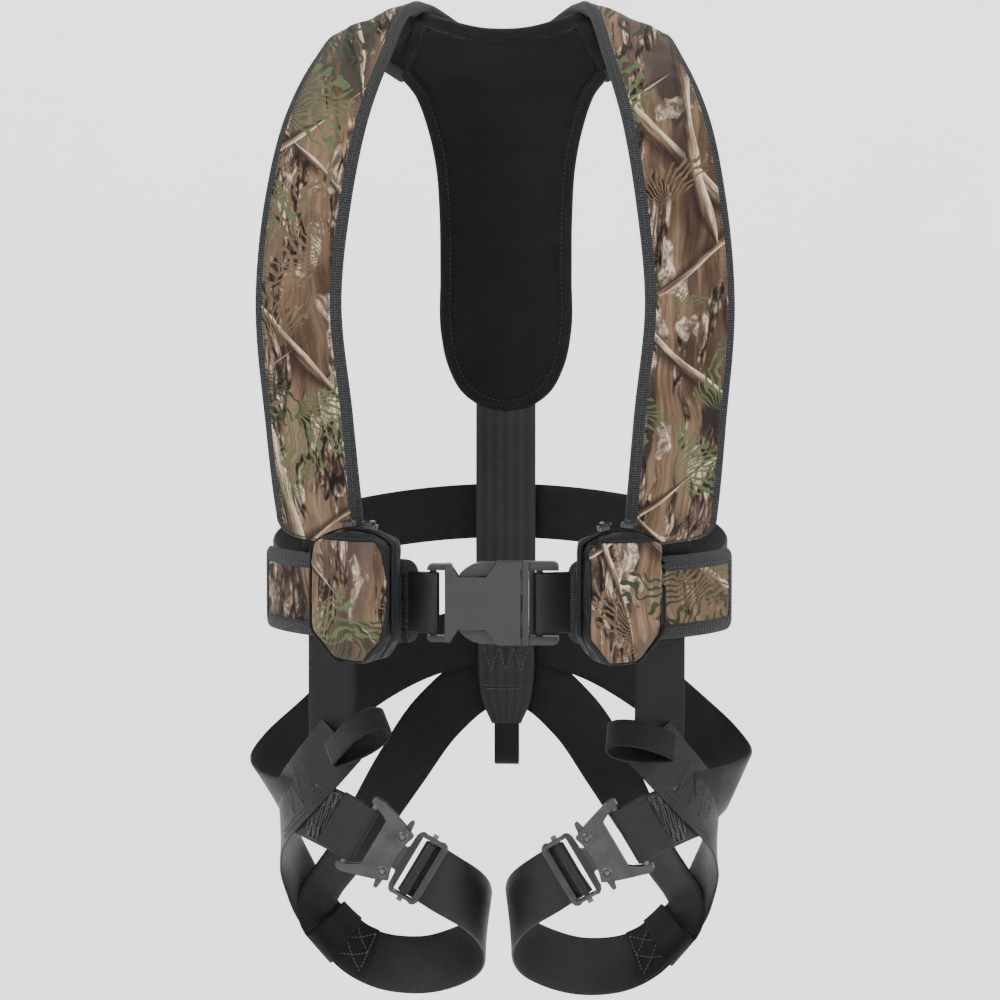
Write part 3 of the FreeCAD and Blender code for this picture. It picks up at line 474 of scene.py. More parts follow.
def camo_material():
    """A printed wood: shaded trunks, split timber, bark, straight branches and pine needles."""
    m = Nodes("camo_cloth", Specular_IOR_Level=0.12, Sheen_Weight=0.03)
    cloth = m.where()
    place = m.turn(cloth, (0.74, 0.74, 0.74))
    flat = m.turn(place, (1, 0.4, 1))
    bend = m.node("TexNoise", {"Vector": flat, "Scale": 14.0, "Detail": 2.0}, "Color")
    bend = m.node("VectorMath", {0: bend, 1: (0.03, 0.0, 0.03)}, operation="MULTIPLY")
    warped = m.node("VectorMath", {0: flat, 1: bend})

    def field(stretch, detail=2.0, rough=0.5, move=0.0, angle=0.0, warp=0.0):
        return m.noise(m.turn(warped, stretch, (0, angle, 0), (move, 0, move)), 1.0, detail, rough, warp)

    def mask(value, at, edge):
        return m.ramp(value, [(at - edge, 0.0), (at + edge, 1.0)])

    # smooth trunks, and split wood with soft upright grain
    trunk = m.ramp(field((40, 14, 10), 4.0, 0.55), [
        (0.30, (0.018, 0.012, 0.011)), (0.46, (0.048, 0.033, 0.029)), (0.60, (0.088, 0.062, 0.050)),
        (0.76, (0.165, 0.120, 0.088)),
    ])
    wood = m.ramp(field((300, 80, 22), 5.0, 0.6, 2.0, 0.0, 0.4), [
        (0.26, (0.055, 0.034, 0.022)), (0.45, (0.120, 0.080, 0.052)), (0.60, (0.190, 0.132, 0.088)),
        (0.80, (0.30, 0.22, 0.15)),
    ])
    shadow = m.ramp(field((26, 9, 14), 3.0, 0.5, 9.4), [(0.36, (0.30, 0.27, 0.26)), (0.56, (1.0, 1.0, 1.0))])
    wood = m.mix(1.0, wood, shadow, "MULTIPLY")
    colour = m.mix(mask(field((34, 12, 9), 3.0, 0.5, 4.3, 0.3), 0.50, 0.012), trunk, wood)
    # slanting bark: dark cracks, brown plates and cream flakes
    flakes = m.ramp(field((230, 80, 66), 6.0, 0.72, 8.1, 0.45, 0.9), [
        (0.38, (0.012, 0.008, 0.007)), (0.47, (0.055, 0.037, 0.030)), (0.54, (0.175, 0.120, 0.085)),
        (0.60, (0.46, 0.385, 0.29)), (0.70, (0.60, 0.53, 0.43)),
    ])
    cracks = m.ramp(m.cells(m.turn(warped, (150, 60, 40), (0, 0.45, 0)), 1.0), [(0.02, 0.12), (0.14, 1.0)])
    bark = m.mix(1.0, flakes, cracks, "MULTIPLY")
    colour = m.mix(mask(field((44, 14, 10), 3.0, 0.6, 6.7, 0.45), 0.505, 0.010), colour, bark)
    # lichen-pale patches
    pale = m.ramp(field((150, 60, 90), 6.0, 0.75, 3.3, -0.3, 1.2), [
        (0.42, (0.07, 0.052, 0.042)), (0.52, (0.24, 0.19, 0.145)), (0.60, (0.52, 0.46, 0.37)),
    ])
    colour = m.mix(mask(field((52, 16, 30), 2.0, 0.5, 12.7), 0.63, 0.015), colour, pale)

    def branch(colour, angle, move, period, width):
        """Straight branches on a slant: lit on one side, dark on the other, with a shadow beyond it."""
        turned = m.turn(place, (1, 0.4, 1), (0, angle, 0), (move, 0, 0))
        across = m.node("SeparateXYZ", {0: turned}, "X")
        across = m.math("MULTIPLY_ADD", m.noise(turned, 13.0, 1.0), 0.018, across)
        far = m.math("SUBTRACT", m.math("FRACT", m.math("MULTIPLY", across, 1 / period)), 0.5)
        far = m.math("MULTIPLY", far, period)
        swell = m.noise(m.turn(turned, shift=(0.3, 0, 0.7)), 17.0, 1.0)
        thick = m.math("MULTIPLY_ADD", swell, 6 * width, -2.35 * width)
        share = m.math("DIVIDE", far, m.math("MAXIMUM", thick, 0.00005))
        grain = m.noise(m.turn(turned, (500, 90, 50)), 1.0, 4.0, 0.65)
        tone = m.ramp(m.math("MULTIPLY_ADD", share, 0.30, grain), [
            (0.18, (0.014, 0.009, 0.007)), (0.38, (0.055, 0.036, 0.027)), (0.58, (0.17, 0.12, 0.082)),
            (0.80, (0.56, 0.48, 0.36)),
        ])
        inside = m.math("LESS_THAN", m.math("ABSOLUTE", share), 1.0)
        shade = m.ramp(m.math("MULTIPLY_ADD", share, 0.25, 0.9), [(0.10, 0.0), (0.62, 0.85), (0.66, 0.0)])
        return m.mix(inside, m.mix(shade, colour, (0.012, 0.008, 0.007)), tone)

    colour = branch(colour, 0.75, 0.013, 0.076, 0.0022)
    colour = branch(colour, -0.95, 0.031, 0.094, 0.0016)
    colour = branch(colour, 0.20, 0.052, 0.088, 0.0030)

    def needles(colour, scale, move, dark, light):
        """Fans of pine needles: curved rays from scattered points, on one side of each."""
        spot = m.turn(place, (1, 0.2, 1), (0, move, 0), (move * 0.02, 0, move * 0.03))
        inputs = {"Vector": spot, "Scale": scale, "Randomness": 0.8}
        centre = m.node("TexVoronoi", inputs, "Position")
        chance = m.node("SeparateColor", {0: m.node("TexVoronoi", inputs, "Color")})
        away = m.node("VectorMath", {0: spot, 1: centre}, operation="SUBTRACT")
        x, z = m.node("SeparateXYZ", {0: away}, "X"), m.node("SeparateXYZ", {0: away}, "Z")
        angle = m.math("ARCTAN2", z, x)
        length = m.math("SQRT", m.math("ADD", m.math("MULTIPLY", x, x), m.math("MULTIPLY", z, z)))
        bent = m.math("MULTIPLY_ADD", m.noise(spot, 60.0, 2.0), 0.9, angle)
        swing = m.math("MULTIPLY_ADD", length, 14.0, bent)
        lines = m.ramp(m.math("SINE", m.math("MULTIPLY", swing, 34.0)), [(0.25, 0.0), (0.45, 1.0)])
        aim = m.math("COSINE", m.math("SUBTRACT", angle, m.math("MULTIPLY", chance, 6.3)))
        ragged = m.math("MULTIPLY_ADD", m.noise(spot, 260.0, 1.0), 0.6, 0.62)
        inside = m.math("GREATER_THAN", m.math("MULTIPLY", aim, ragged), 0.30)
        inside = m.math("MULTIPLY", inside, m.math("LESS_THAN", m.math("MULTIPLY", length, scale), ragged))
        inside = m.math("MULTIPLY", inside, m.math("GREATER_THAN", chance, 0.5))
        tone = m.mix(m.noise(place, 190.0, 2.0), dark, light)
        return m.mix(m.math("MULTIPLY", lines, inside), colour, tone)

    colour = needles(colour, 15.0, 1.0, (0.012, 0.018, 0.010), (0.040, 0.060, 0.028))
    colour = needles(colour, 17.0, 2.3, (0.030, 0.046, 0.020), (0.110, 0.150, 0.070))
    colour = needles(colour, 16.0, 4.1, (0.05, 0.035, 0.022), (0.16, 0.115, 0.070))
    grit = m.noise(cloth, 1400.0, 2.0)
    colour = m.mix(0.3, colour, m.ramp(grit, [(0.3, 0.25), (0.7, 0.62)]), "OVERLAY")
    colour = m.mix(1.0, colour, (0.74, 0.70, 0.66), "MULTIPLY")
    weave = m.math("MULTIPLY", m.bands(cloth, 0.0012, direction="X"), m.bands(cloth, 0.0012, direction="Z"))
    folds = m.bump(m.noise(cloth, 45.0, 2.0, 0.5, 0.3), 0.0014, 0.3)
    rough = m.ramp(grit, [(0.3, 0.78), (0.7, 0.92)])
    return m.done(colour, rough, m.bump(m.math("ADD", weave, grit), 0.0002, 0.5, folds))


def moulded_material():
    """Satin black acetal with a fine spark texture and rubbed edges."""
    m = Nodes("buckle_plastic", Specular_IOR_Level=0.24)
    place = m.where()
    grit = m.noise(place, 1500.0, 3.0, 0.6)
    cloud = m.noise(place, 60.0, 4.0)
    worn = m.ramp(m.node("NewGeometry", {}, "Pointiness"), [(0.5, 0.0), (0.56, 1.0)])
    black = m.ramp(cloud, [(0.3, (0.0058, 0.0060, 0.0064)), (0.7, (0.0096, 0.0098, 0.0104))])
    colour = m.mix(m.math("MULTIPLY", worn, 0.5), black, (0.028, 0.0285, 0.030))
    spread = m.math("ADD", m.math("MULTIPLY", grit, 0.5), m.math("MULTIPLY", cloud, 0.5))
    return m.done(colour, m.ramp(spread, [(0.3, 0.36), (0.7, 0.52)]), m.bump(grit, 0.00012, 0.5))


def metal_material(name, dark, edge, metallic, rough):
    """Hard-coated metal with bright rubbed edges and fine scratches."""
    m = Nodes(name, Metallic=metallic, Specular_IOR_Level=0.28)
    place = m.where()
    scratch = m.noise(m.turn(place, (900, 900, 90), (0.3, 0.5, 0.2)), 1.0, 3.0, 0.7)
    cloud = m.noise(place, 70.0, 4.0, 0.6)
    worn = m.ramp(m.node("NewGeometry", {}, "Pointiness"), [(0.53, 0.0), (0.60, 1.0)])
    worn = m.math("MULTIPLY", worn, m.ramp(cloud, [(0.3, 0.35), (0.6, 1.0)]))
    light = tuple(c * 1.5 for c in dark)
    tone = m.math("ADD", m.math("MULTIPLY", scratch, 0.4), m.math("MULTIPLY", cloud, 0.6))
    colour = m.mix(worn, m.ramp(tone, [(0.3, dark), (0.75, light)]), edge)
    dull = m.ramp(scratch, [(0.3, rough[0]), (0.7, rough[1])])
    return m.done(colour, dull, m.bump(m.math("ADD", scratch, m.noise(place, 1600.0, 2.0)), 0.00008, 0.5))


def thread_material(name, dark, light):
    m = Nodes(name, Specular_IOR_Level=0.4)
    twist = m.bands(m.turn(m.where(), angle=(0.5, 0.4, 0.7)), 0.0007)
    fuzz = m.math("MULTIPLY", m.noise(m.where(), 700.0), 0.4)
    colour = m.ramp(m.math("ADD", m.math("MULTIPLY", twist, 0.6), fuzz), [(0.2, dark), (0.8, light)])
    return m.done(colour, m.ramp(twist, [(0.2, 0.5), (0.8, 0.7)]), m.bump(twist, 0.0002, 0.6))


WEBBING = webbing_material("webbing", (0.0012, 0.0013, 0.0015), (0.0085, 0.0088, 0.0100), shine=0.12)
STRIPED = webbing_material(
    "webbing_striped", (0.0014, 0.0015, 0.0018), (0.022, 0.0225, 0.0255), 0.22, 0.0085, 0.16
)
GLOSSY = webbing_material(
    "webbing_shiny", (0.0010, 0.0011, 0.0013), (0.0078, 0.0082, 0.0092), 0.08, 0.0045, 0.2
)
TAPE = tape_material()
TAPE_DARK = cloth_material("binding_tape_dark", (0.0020, 0.0022, 0.0026), (0.0095, 0.010, 0.011), 0.0013)
LINING = cloth_material("lining_cloth", (0.0020, 0.0023, 0.0028), (0.0080, 0.0088, 0.0102))
BAG = cloth_material("pouch_cloth", (0.0022, 0.0023, 0.0026), (0.0105, 0.0108, 0.012), 0.0009, (0.5, 0.68))
CAMO = camo_material()
PLASTIC = moulded_material()
COATED = metal_material("buckle_metal", (0.0052, 0.0053, 0.0050), (0.030, 0.030, 0.0285), 0.05, (0.36, 0.50))
RIVET = metal_material("rivet_steel", (0.009, 0.009, 0.0088), (0.09, 0.09, 0.087), 0.2, (0.30, 0.48))
ZIP_METAL = metal_material("zip_metal", (0.0045, 0.0045, 0.0047), (0.030, 0.030, 0.030), 0.0, (0.34, 0.5))
THREAD = thread_material("thread_dark", (0.004, 0.004, 0.0046), (0.024, 0.0245, 0.026))
GREY_THREAD = thread_material("thread_grey", (0.016, 0.0165, 0.018), (0.070, 0.072, 0.077))


# ---- shoulder straps ----
WEB = 46.0
SHOULDER = [
    (132, -78.5, 42, 0.53, -0.85, 0.00, 80), (135, -88, 74, 0.50, -0.87, 0.00, 79),
    (140, -101, 136, 0.45, -0.89, 0.05, 76), (147, -107, 227, 0.42, -0.90, 0.08, 72),
    (140, -99, 302, 0.40, -0.88, 0.25, 72), (128, -73, 363, 0.38, -0.72, 0.55, 72),
    (111, -37, 408, 0.38, -0.45, 0.80, 71), (97, 2, 434, 0.37, 0.00, 0.93, 69),
    (82, 40, 428, 0.33, 0.60, 0.73, 69), (57, 72, 411, 0.25, 0.74, 0.62, 68),
]
SOFT = []


def edge_indices(obj, count):
    """The vertices of a pad that its edge tape covers: the first and last rows and its two long edges."""
    size = 2 * count
    total = len(obj.data.vertices) // size
    held = [k for k in range(size) if min(k % count, count - 1 - k % count) < 4]
    rows = [i * size + k for i in range(total) for k in held]
    ends = [i * size + k for i in (0, 1, 2, total - 2, total - 1) for k in range(size)]
    return sorted(set(rows + ends))


def shoulder_strap(name, side):
    track = Track(SHOULDER, side)
    shell = pad(f"shoulder_shell_{name}", track, 1.2, 3.3, 2.2, 14, False, CAMO)
    lining = pad(f"shoulder_lining_{name}", track, -3.2, -1.2, 0.0, 14, False, LINING)
    for obj, grow, cap in ((shell, 0.02, 3.5), (lining, 0.012, 1.8)):
        SOFT.append((obj, 2.5, grow, cap, edge_indices(obj, PAD_COLUMNS)))
    points, outs, normals = strip_edge(track, 14, False)
    fold = tape_profile(11, 3.0, 3.5)
    tape = sweep_edge(f"shoulder_binding_{name}", points, outs, normals, fold, TAPE, False)
    for obj, slot in ((shell, "camo_cloth"), (lining, "lining_cloth"), (tape, "binding_tape")):
        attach(obj, "harness")
        stands_for_node(obj)
    lines = []
    for inset, h in ((8.2, 4.9), (2.0, 4.2)):
        lines.append((points - outs * inset * MM + normals * h * MM, normals))
    stitch(f"shoulder_stitches_{name}", lines, "harness", 2.4, 1.6, 0.28, THREAD)


# ---- yoke ----
YOKE_PROFILE = [
    (4, 441), (22, 438.5), (40, 431), (57, 417), (72, 400), (85, 377), (97, 346), (105, 308), (109, 262),
    (110, 215), (110, 165), (108, 118),
]
YOKE_SIDE = [
    (85, 400), (71, 378), (62, 352), (56, 322), (53.5, 285), (53, 235), (52.5, 188), (47, 162), (35, 140),
]
YOKE_FOOT, YOKE_MIDDLE, YOKE_CREASE = 125.0, 275, 340


def yoke_depth(z):
    """How far behind the origin the yoke lies at a height, in millimetres."""
    fine = smooth([(y, height, 0) for y, height in YOKE_PROFILE[::-1]], 2.0)
    return np.interp(z, fine[:, 1], fine[:, 0])


def yoke_normal(z):
    """The direction out of the back at a height."""
    slope = (yoke_depth(z + 2) - yoke_depth(z - 2)) / 4
    return unit(np.array([0, 1, -slope]))


def yoke_outline():
    """The yoke's edge as (x, z) points all the way round, from the neck's middle down its left side."""
    side = [
        (0, 429), (12, 429.4), (24, 431), (44, 435.8), (60, 439.6), (66, 439), (74, 425), *YOKE_SIDE,
        (18, 128.5), (0, YOKE_FOOT),
    ]
    fine = smooth([(x, z, 0) for x, z in side], 3.0)[:, :2]
    return np.concatenate([fine, (fine * (-1, 1))[-2:0:-1]])


def yoke_sheet(name, low, high, crown, inset, material, crease=0.0):
    """One layer of the yoke, as a closed stuffed sheet."""
    edge = yoke_outline()
    left = edge[:len(edge) // 2 + 1]
    rows, across = 64, 23
    verts_front, verts_back = [], []
    neck = int(np.argmax(left[:, 0]))
    neck_line, side_line = left[: neck + 1], left[neck:]
    side_run = distances(side_line)
    for i in range(rows + 1):
        b = (i / rows) ** 1.5
        at = side_run[-1] * b * 0.988
        px, pz = np.interp(at, side_run, side_line[:, 0]), np.interp(at, side_run, side_line[:, 1])
        for j in range(across):
            t = -1 + 2 * j / (across - 1)
            x = px * t
            top = np.interp(abs(t) * neck_line[-1, 0], neck_line[:, 0], neck_line[:, 1]) - neck_line[-1, 1]
            z = pz + top * max(0.0, 1 - b * 4) ** 1.5
            sag = (YOKE_FOOT - pz) * max(0.0, (b - 0.8) / 0.2) ** 2 * (1 - t * t) * 0.6
            x, z = x * (1 - inset / 60.0), YOKE_MIDDLE + (z + sag - YOKE_MIDDLE) * (1 - inset / 150.0)
            dome = crown * (1 - t**4) * math.sin(math.pi * min(max(b, 0.02), 0.98)) ** 0.25
            dent = crease * math.exp(-((z - YOKE_CREASE) / 2.2) ** 2)
            n = yoke_normal(z)
            outer = high + (dome if high > 0 else 0) - dent
            inner = low - (dome if high <= 0 else 0) + dent
            base = np.array([x, yoke_depth(z), z])
            verts_front.append((base + n * outer) * MM)
            verts_back.append((base + n * inner) * MM)
    count = len(verts_front)
    faces = []
    for i in range(rows):
        for j in range(across - 1):
            a = i * across + j
            quad = (a, a + 1, a + across + 1, a + across)
            faces.append(quad)
            faces.append(tuple(count + k for k in quad[::-1]))
    ring = list(range(across)) + [i * across + across - 1 for i in range(1, rows + 1)]
    ring += [rows * across + j for j in range(across - 2, -1, -1)]
    ring += [i * across for i in range(rows - 1, 0, -1)]
    for a, b in zip(ring, ring[1:] + ring[:1]):
        faces.append((a, b, count + b, count + a))
    obj = mesh_object(name, verts_front + verts_back, faces, None, material)
    SOFT.append((obj, 1.5, 0.008, 2.0, ring + [count + k for k in ring]))
    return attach(obj, "harness")


def yoke():
    shell = yoke_sheet("yoke_shell", 1.5, 3.2, 2.4, 6, CAMO)
    lining = yoke_sheet("yoke_lining", -3.0, -1.5, 1.6, 6, LINING, 0.8)
    edge = yoke_outline()
    points = np.array([(x, yoke_depth(z), z) for x, z in edge]) * MM
    along = unit(np.roll(points, -1, axis=0) - np.roll(points, 1, axis=0))
    normals = np.array([yoke_normal(z) for _, z in edge])
    outs = unit(np.cross(normals, along))
    if (outs[:, 0] * edge[:, 0]).sum() < 0:
        outs = -outs
    fold = tape_profile(11, 3.0, 3.4)
    tape = sweep_edge("yoke_binding", points - outs * MM, outs, normals, fold, TAPE_DARK, True)
    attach(tape, "harness")
    for obj in (shell, lining, tape):
        stands_for_node(obj)
    lines = []
    for face in (-1, 1):
        seam = points - outs * 8.5 * MM + normals * face * 4.7 * MM
        lines.append((np.concatenate([seam, seam[:1]]), face * normals[[*range(len(seam)), 0]]))
    stitch("yoke_stitches", lines, "harness", 2.4, 1.6, 0.28, THREAD)


# ---- webbing that carries the load ----
LOAD_WEB = [
    (124.5, -80.5, -122, 0.56, -0.83, 0.00, WEB), (125.5, -79, -95, 0.57, -0.82, 0.00, WEB),
    (125.5, -77.5, -60, 0.57, -0.82, 0.00, WEB), (125.5, -77, -20, 0.57, -0.82, 0.00, WEB),
    (126, -76.5, 12, 0.56, -0.83, 0.00, WEB), (128, -76.5, 32, 0.55, -0.83, 0.00, WEB),
    (135, -88, 74, 0.50, -0.87, 0.00, WEB), *[(*row[:6], WEB) for row in SHOULDER[2:]],
]
BACK = [
    (0, 105, 310, 0, 1, 0, 48), (0, 109, 262, 0, 1, 0, 48), (0, 110, 215, 0, 1, 0, 48),
    (0, 110, 165, 0, 1, 0, 48), (0, 108, 118, 0, 1, 0, 48), (0, 107, 60, 0, 1, 0, 48),
    (0, 108, 0, 0, 1, 0, 48), (0, 112, -60, 0, 1, 0, 46), (0, 116, -92, 0, 1, 0, 45),
    (0, 118, -112, 0, 1, 0, 39), (0, 119, -130, 0, 1, 0, 24),
]
BACK_BELT = [
    (-169.6, -33, 6, -0.92, -0.39, 0, 44), (-176.5, 0, 13, -1.00, 0.00, 0, 44),
    (-164, 48, 23, -0.90, 0.45, 0, 44), (-122, 92, 33, -0.55, 0.83, 0, 44),
    (-62, 114, 41, -0.25, 0.97, 0, 44), (0, 119, 44, 0, 1, 0, 44),
]
HIP_LEFT = [
    (152, -70, -160, 0.66, -0.74, 0.00, WEB), (173, -37, -158, 0.85, -0.45, -0.25, WEB),
    (188, 0, -152, 0.92, 0.05, -0.39, WEB), (177, 35, -139, 0.84, 0.45, -0.30, WEB),
    (150, 64, -118, 0.66, 0.72, -0.20, WEB), (114, 93, -93, 0.48, 0.86, -0.12, WEB),
    (66, 114, -69, 0.25, 0.97, -0.05, WEB),
]
HIP_RIGHT = [
    (-147, -73, -166, -0.62, -0.78, 0.00, WEB), (-163, -48, -168, -0.74, -0.58, -0.35, WEB),
    (-178.5, -20, -164, -0.80, -0.30, -0.52, WEB), (-183, 6, -156, -0.80, 0.12, -0.58, WEB),
    (-176, 35, -145, -0.76, 0.45, -0.46, WEB), (-154, 63, -126, -0.66, 0.68, -0.32, WEB),
    (-114, 93, -93, -0.48, 0.86, -0.12, WEB), (-66, 114, -69, -0.25, 0.97, -0.05, WEB),
    (0, 122, -56, 0.00, 1.00, 0.00, WEB),
]
SEAT_STRAP = [
    (-106, 34.5, -304, -0.34, 0.78, -0.50, WEB), (-114.4, 33.2, -299, -0.42, 0.72, -0.50, WEB),
    (-131.7, 29.5, -283, -0.56, 0.64, -0.51, WEB), (-144, 28.5, -273.5, -0.70, 0.62, -0.30, WEB),
    (-148, 31.5, -261, -0.80, 0.58, -0.02, WEB), (-140.5, 39.5, -247, -0.72, 0.63, 0.22, WEB),
    (-127, 51, -229, -0.63, 0.70, 0.28, WEB), (-108, 72, -200, -0.54, 0.78, 0.12, WEB),
    (-84, 97, -163, -0.38, 0.90, -0.06, WEB), (-54, 117, -122, -0.20, 0.97, -0.10, WEB),
    (-24, 125, -98, -0.08, 0.99, -0.04, WEB), (0, 126, -91, 0.00, 1.00, 0.00, WEB),
]
THIGH = [
    (117, -88, -110, 0.50, -0.86, 0.00, WEB), (131, -84, -127, 0.57, -0.82, 0.00, WEB),
    (149, -73, -149, 0.74, -0.67, 0.00, 47), (163, -53, -168, 0.91, -0.42, -0.05, 48),
    (170, -28, -188, 0.99, -0.03, -0.10, 48), (168, -4, -209, 0.93, 0.33, -0.15, 48),
    (161.5, 16, -234, 0.84, 0.50, -0.22, 47), (151.5, 29.5, -260, 0.76, 0.58, -0.28, WEB),
    (133, 31, -284, 0.56, 0.64, -0.51, WEB), (116, 35, -300.5, 0.40, 0.74, -0.50, WEB),
    (95, 41.5, -311, 0.18, 0.88, -0.42, WEB), (66, 43, -314, -0.10, 0.95, -0.28, WEB),
    (30, 24, -300, -0.62, 0.75, -0.20, WEB), (10, -14, -272, -1.00, 0.00, -0.05, WEB),
    (17, -55, -243, -0.80, -0.60, 0.00, WEB), (40, -81, -222, -0.30, -0.95, 0.00, WEB),
    (62, -85.6, -207, 0.00, -1.00, 0.00, WEB),
]
KEEPER_AT = 8
PATCH = [
    (111, -90.5, -178, 0.10, -0.99, 0.0, 47), (128, -86, -171, 0.40, -0.92, 0.0, 48),
    (146, -73, -165, 0.70, -0.71, 0.0, 50), (158, -58, -163, 0.85, -0.53, 0.0, 50),
]
# The tree-belt loops: root, direction of the loop, direction of the webbing's width.
LINEMAN = {
    "left": ((137, -101, -113), (-0.98, -0.10, 0.17), (0.12, 0.71, 0.69)),
    "right": ((125, -103, -121), (-0.82, -0.05, 0.56), (0.34, 0.80, 0.50)),
}
LOOP_SIDE = [(0, 1.4), (12, 6), (26, 9.5), (38, 9.6), (48, 6)]
LOOP_TIP = 52.0


def both_halves(rows):
    return rows + [(-x, y, z, -nx, ny, nz, w) for x, y, z, nx, ny, nz, w in rows[-2::-1]]


def strap(name, track, material=None, thick=1.9, body="harness", replaces=True):
    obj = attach(webbing(name, track, thick, material), body)
    if replaces:
        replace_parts(obj, name)
    return obj


def back_straps():
    back = Track(BACK)
    strap("back_webbing", back, STRIPED, 2.2)
    strap("hip_band", Track(HIP_RIGHT + HIP_LEFT[::-1]))
    strap("seat_strap", Track(both_halves(SEAT_STRAP)))
    tail_loop()
    foot = back.run[-1] / MM
    rows = []
    for h in (-1.6, 1.6):
        zig = [(foot - 72 + 3 * (k % 2), -21 + 42 * k / 26) for k in range(27)]
        rows.append(straight(back, zig, h))
        wave = [(foot - 64 + 20 * (k % 2), -18 + 36 * k / 6) for k in range(7)]
        rows.append(straight(back, wave, h))
        rows.append(straight(back, [(foot - 32, -17), (foot - 32, 17)], h))
        rows.append(straight(back, [(foot - 29, -16), (foot - 29, 16)], h))
    stitch("tail_stitches", rows, "harness", 2.6, 0.8, 0.42, GREY_THREAD)


def loop_band(name, points, width, thick, material, upright):
    """A narrow webbing loop standing on edge, drawn out along upright."""
    rows = smooth([tuple(p) for p in points], 0.0015)
    along = unit(np.gradient(rows, axis=0))
    up = np.array(upright, float)
    out = unit(np.cross(along, up))
    runs = distances(rows)
    profile = web_profile(width * MM / 2, thick * MM)
    sections = [[p + up * u + n * h for u, h in profile] for p, n in zip(rows, out)]
    return skin(name, sections, runs, [u for u, _ in profile], material)


def tail_loop():
    y, r, foot = 127.5, 4.4, -160.0
    points = [(0, y - r, z) for z in (-115, -130, -145, foot)]
    for angle in (45, 90, 135):
        t = math.radians(angle)
        points.append((0, y - r * math.cos(t), foot - r * math.sin(t)))
    points += [(0, y + r, z) for z in (foot, -145, -130, -115)]
    obj = loop_band("tail_loop", np.array(points) * MM, 20, 1.6, WEBBING, (1, 0, 0))
    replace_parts(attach(obj, "harness"), "tail_loop")


def back_belt():
    """The back belt's webbing round the back, its transform applied, in place of its CAD node."""
    obj = webbing("back_belt", Track(both_halves(BACK_BELT)), 1.9)
    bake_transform(obj)
    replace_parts(obj, "back_belt")


def side_straps(name, side):
    load = Track(LOAD_WEB, side)
    strap(f"load_webbing_{name}", load)
    thigh = Track(THIGH, side)
    strap(f"thigh_strap_{name}", thigh, GLOSSY)
    lineman_loop(name, side)
    patch = Track(PATCH, side)
    rows = [straight(patch, [(2 + 2.1 * k, 21 * (-1) ** k) for k in range(17)], 2.3)]
    for t in (-1, 1):
        rows.append(straight(patch, [(2 + 3.1 * k, (21 - 13 * (k % 2)) * t) for k in range(12)], 2.35))
    rows += [straight(patch, [(3, -21), (38, -21)], 2.3), straight(patch, [(3, 21), (38, 21)], 2.3)]
    stitch(f"patch_stitches_{name}", rows, "harness", 1.7, 0.5, 0.46, GREY_THREAD)
    rows = [straight(thigh, [(s, u) for s in (34, 104)], 1.3) for u in (19, 15.5)]
    rows += [straight(thigh, [(38 + 7 * k, -17 + 30 * (k % 2)) for k in range(8)], 1.3)]
    stitch(f"thigh_stitches_{name}", rows, "harness", 2.2, 1.1, 0.36, THREAD)
    seat = Track(both_halves(SEAT_STRAP))
    end = 0 if side < 0 else seat.run[-1] / MM
    near, far = end - side * 2, end - side * 24
    rows = [straight(seat, [(near, -18), (near, 18)], -1.4), straight(seat, [(far, -18), (far, 18)], -1.4)]
    rows += [straight(seat, [(near, a), (far, b)], -1.4) for a, b in ((-18, 0), (0, -18), (0, 18), (18, 0))]
    stitch(f"seat_stitches_{name}", rows, "harness", 2.4, 0.9, 0.42, GREY_THREAD)
    keeper(name, side, thigh)
    buckle_webbing(name, side, patch)


def lineman_loop(name, side):
    root, along, wide = (np.array(v, float) for v in LINEMAN[name])
    along = unit(along)
    thick = unit(np.cross(wide, along))
    outline = [*LOOP_SIDE, (LOOP_TIP, 0), *[(s, -t) for s, t in LOOP_SIDE[::-1]]]
    points = np.array([root + along * s + thick * t for s, t in outline]) * (side, 1, 1) * MM
    across = np.cross(along, thick) * (side, 1, 1)
    loop = loop_band(f"lineman_loop_{name}", points, 25, 1.6, WEBBING, across)
    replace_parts(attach(loop, "harness"), f"lineman_loop_{name}")


def nearest(track, row, side):
    """The distance along a track, in metres, that is closest to a row's point."""
    target = np.array(row[:3]) * (side, 1, 1) * MM
    return float(track.run[np.argmin(np.linalg.norm(track.centre - target, axis=1))])


def keeper(name, side, thigh):
    """The sewn sleeve that holds the seat strap and the thigh strap together."""
    middle = nearest(thigh, THIGH[KEEPER_AT], side)
    sections, runs = [], []
    for s in np.arange(middle - 0.012, middle + 0.0121, 0.002):
        p, _, across, out = thigh.at(s, 0, -1.1 * MM)
        ring = [p + across * u * MM + out * h * MM for u, h in round_band(25.2, 4.0, 3.0)]
        ring += [p + across * u * MM + out * h * MM for u, h in round_band(24.2, 3.1, 2.4)[::-1]]
        sections.append(ring)
        runs.append(s)
    obj = sleeve(f"strap_keeper_{name}", sections, WEBBING)
    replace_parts(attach(obj, "harness"), f"strap_keeper_{name}")


def round_band(half, high, r):
    """A flat oval ring's outline."""
    points = []
    x, y = half - r, high - r
    for cx, cy, start in ((x, y, 0), (-x, y, 90), (-x, -y, 180), (x, -y, 270)):
        for turn in (0, 30, 60, 90):
            t = math.radians(start + turn)
            points.append((cx + r * math.cos(t), cy + r * math.sin(t)))
    return points


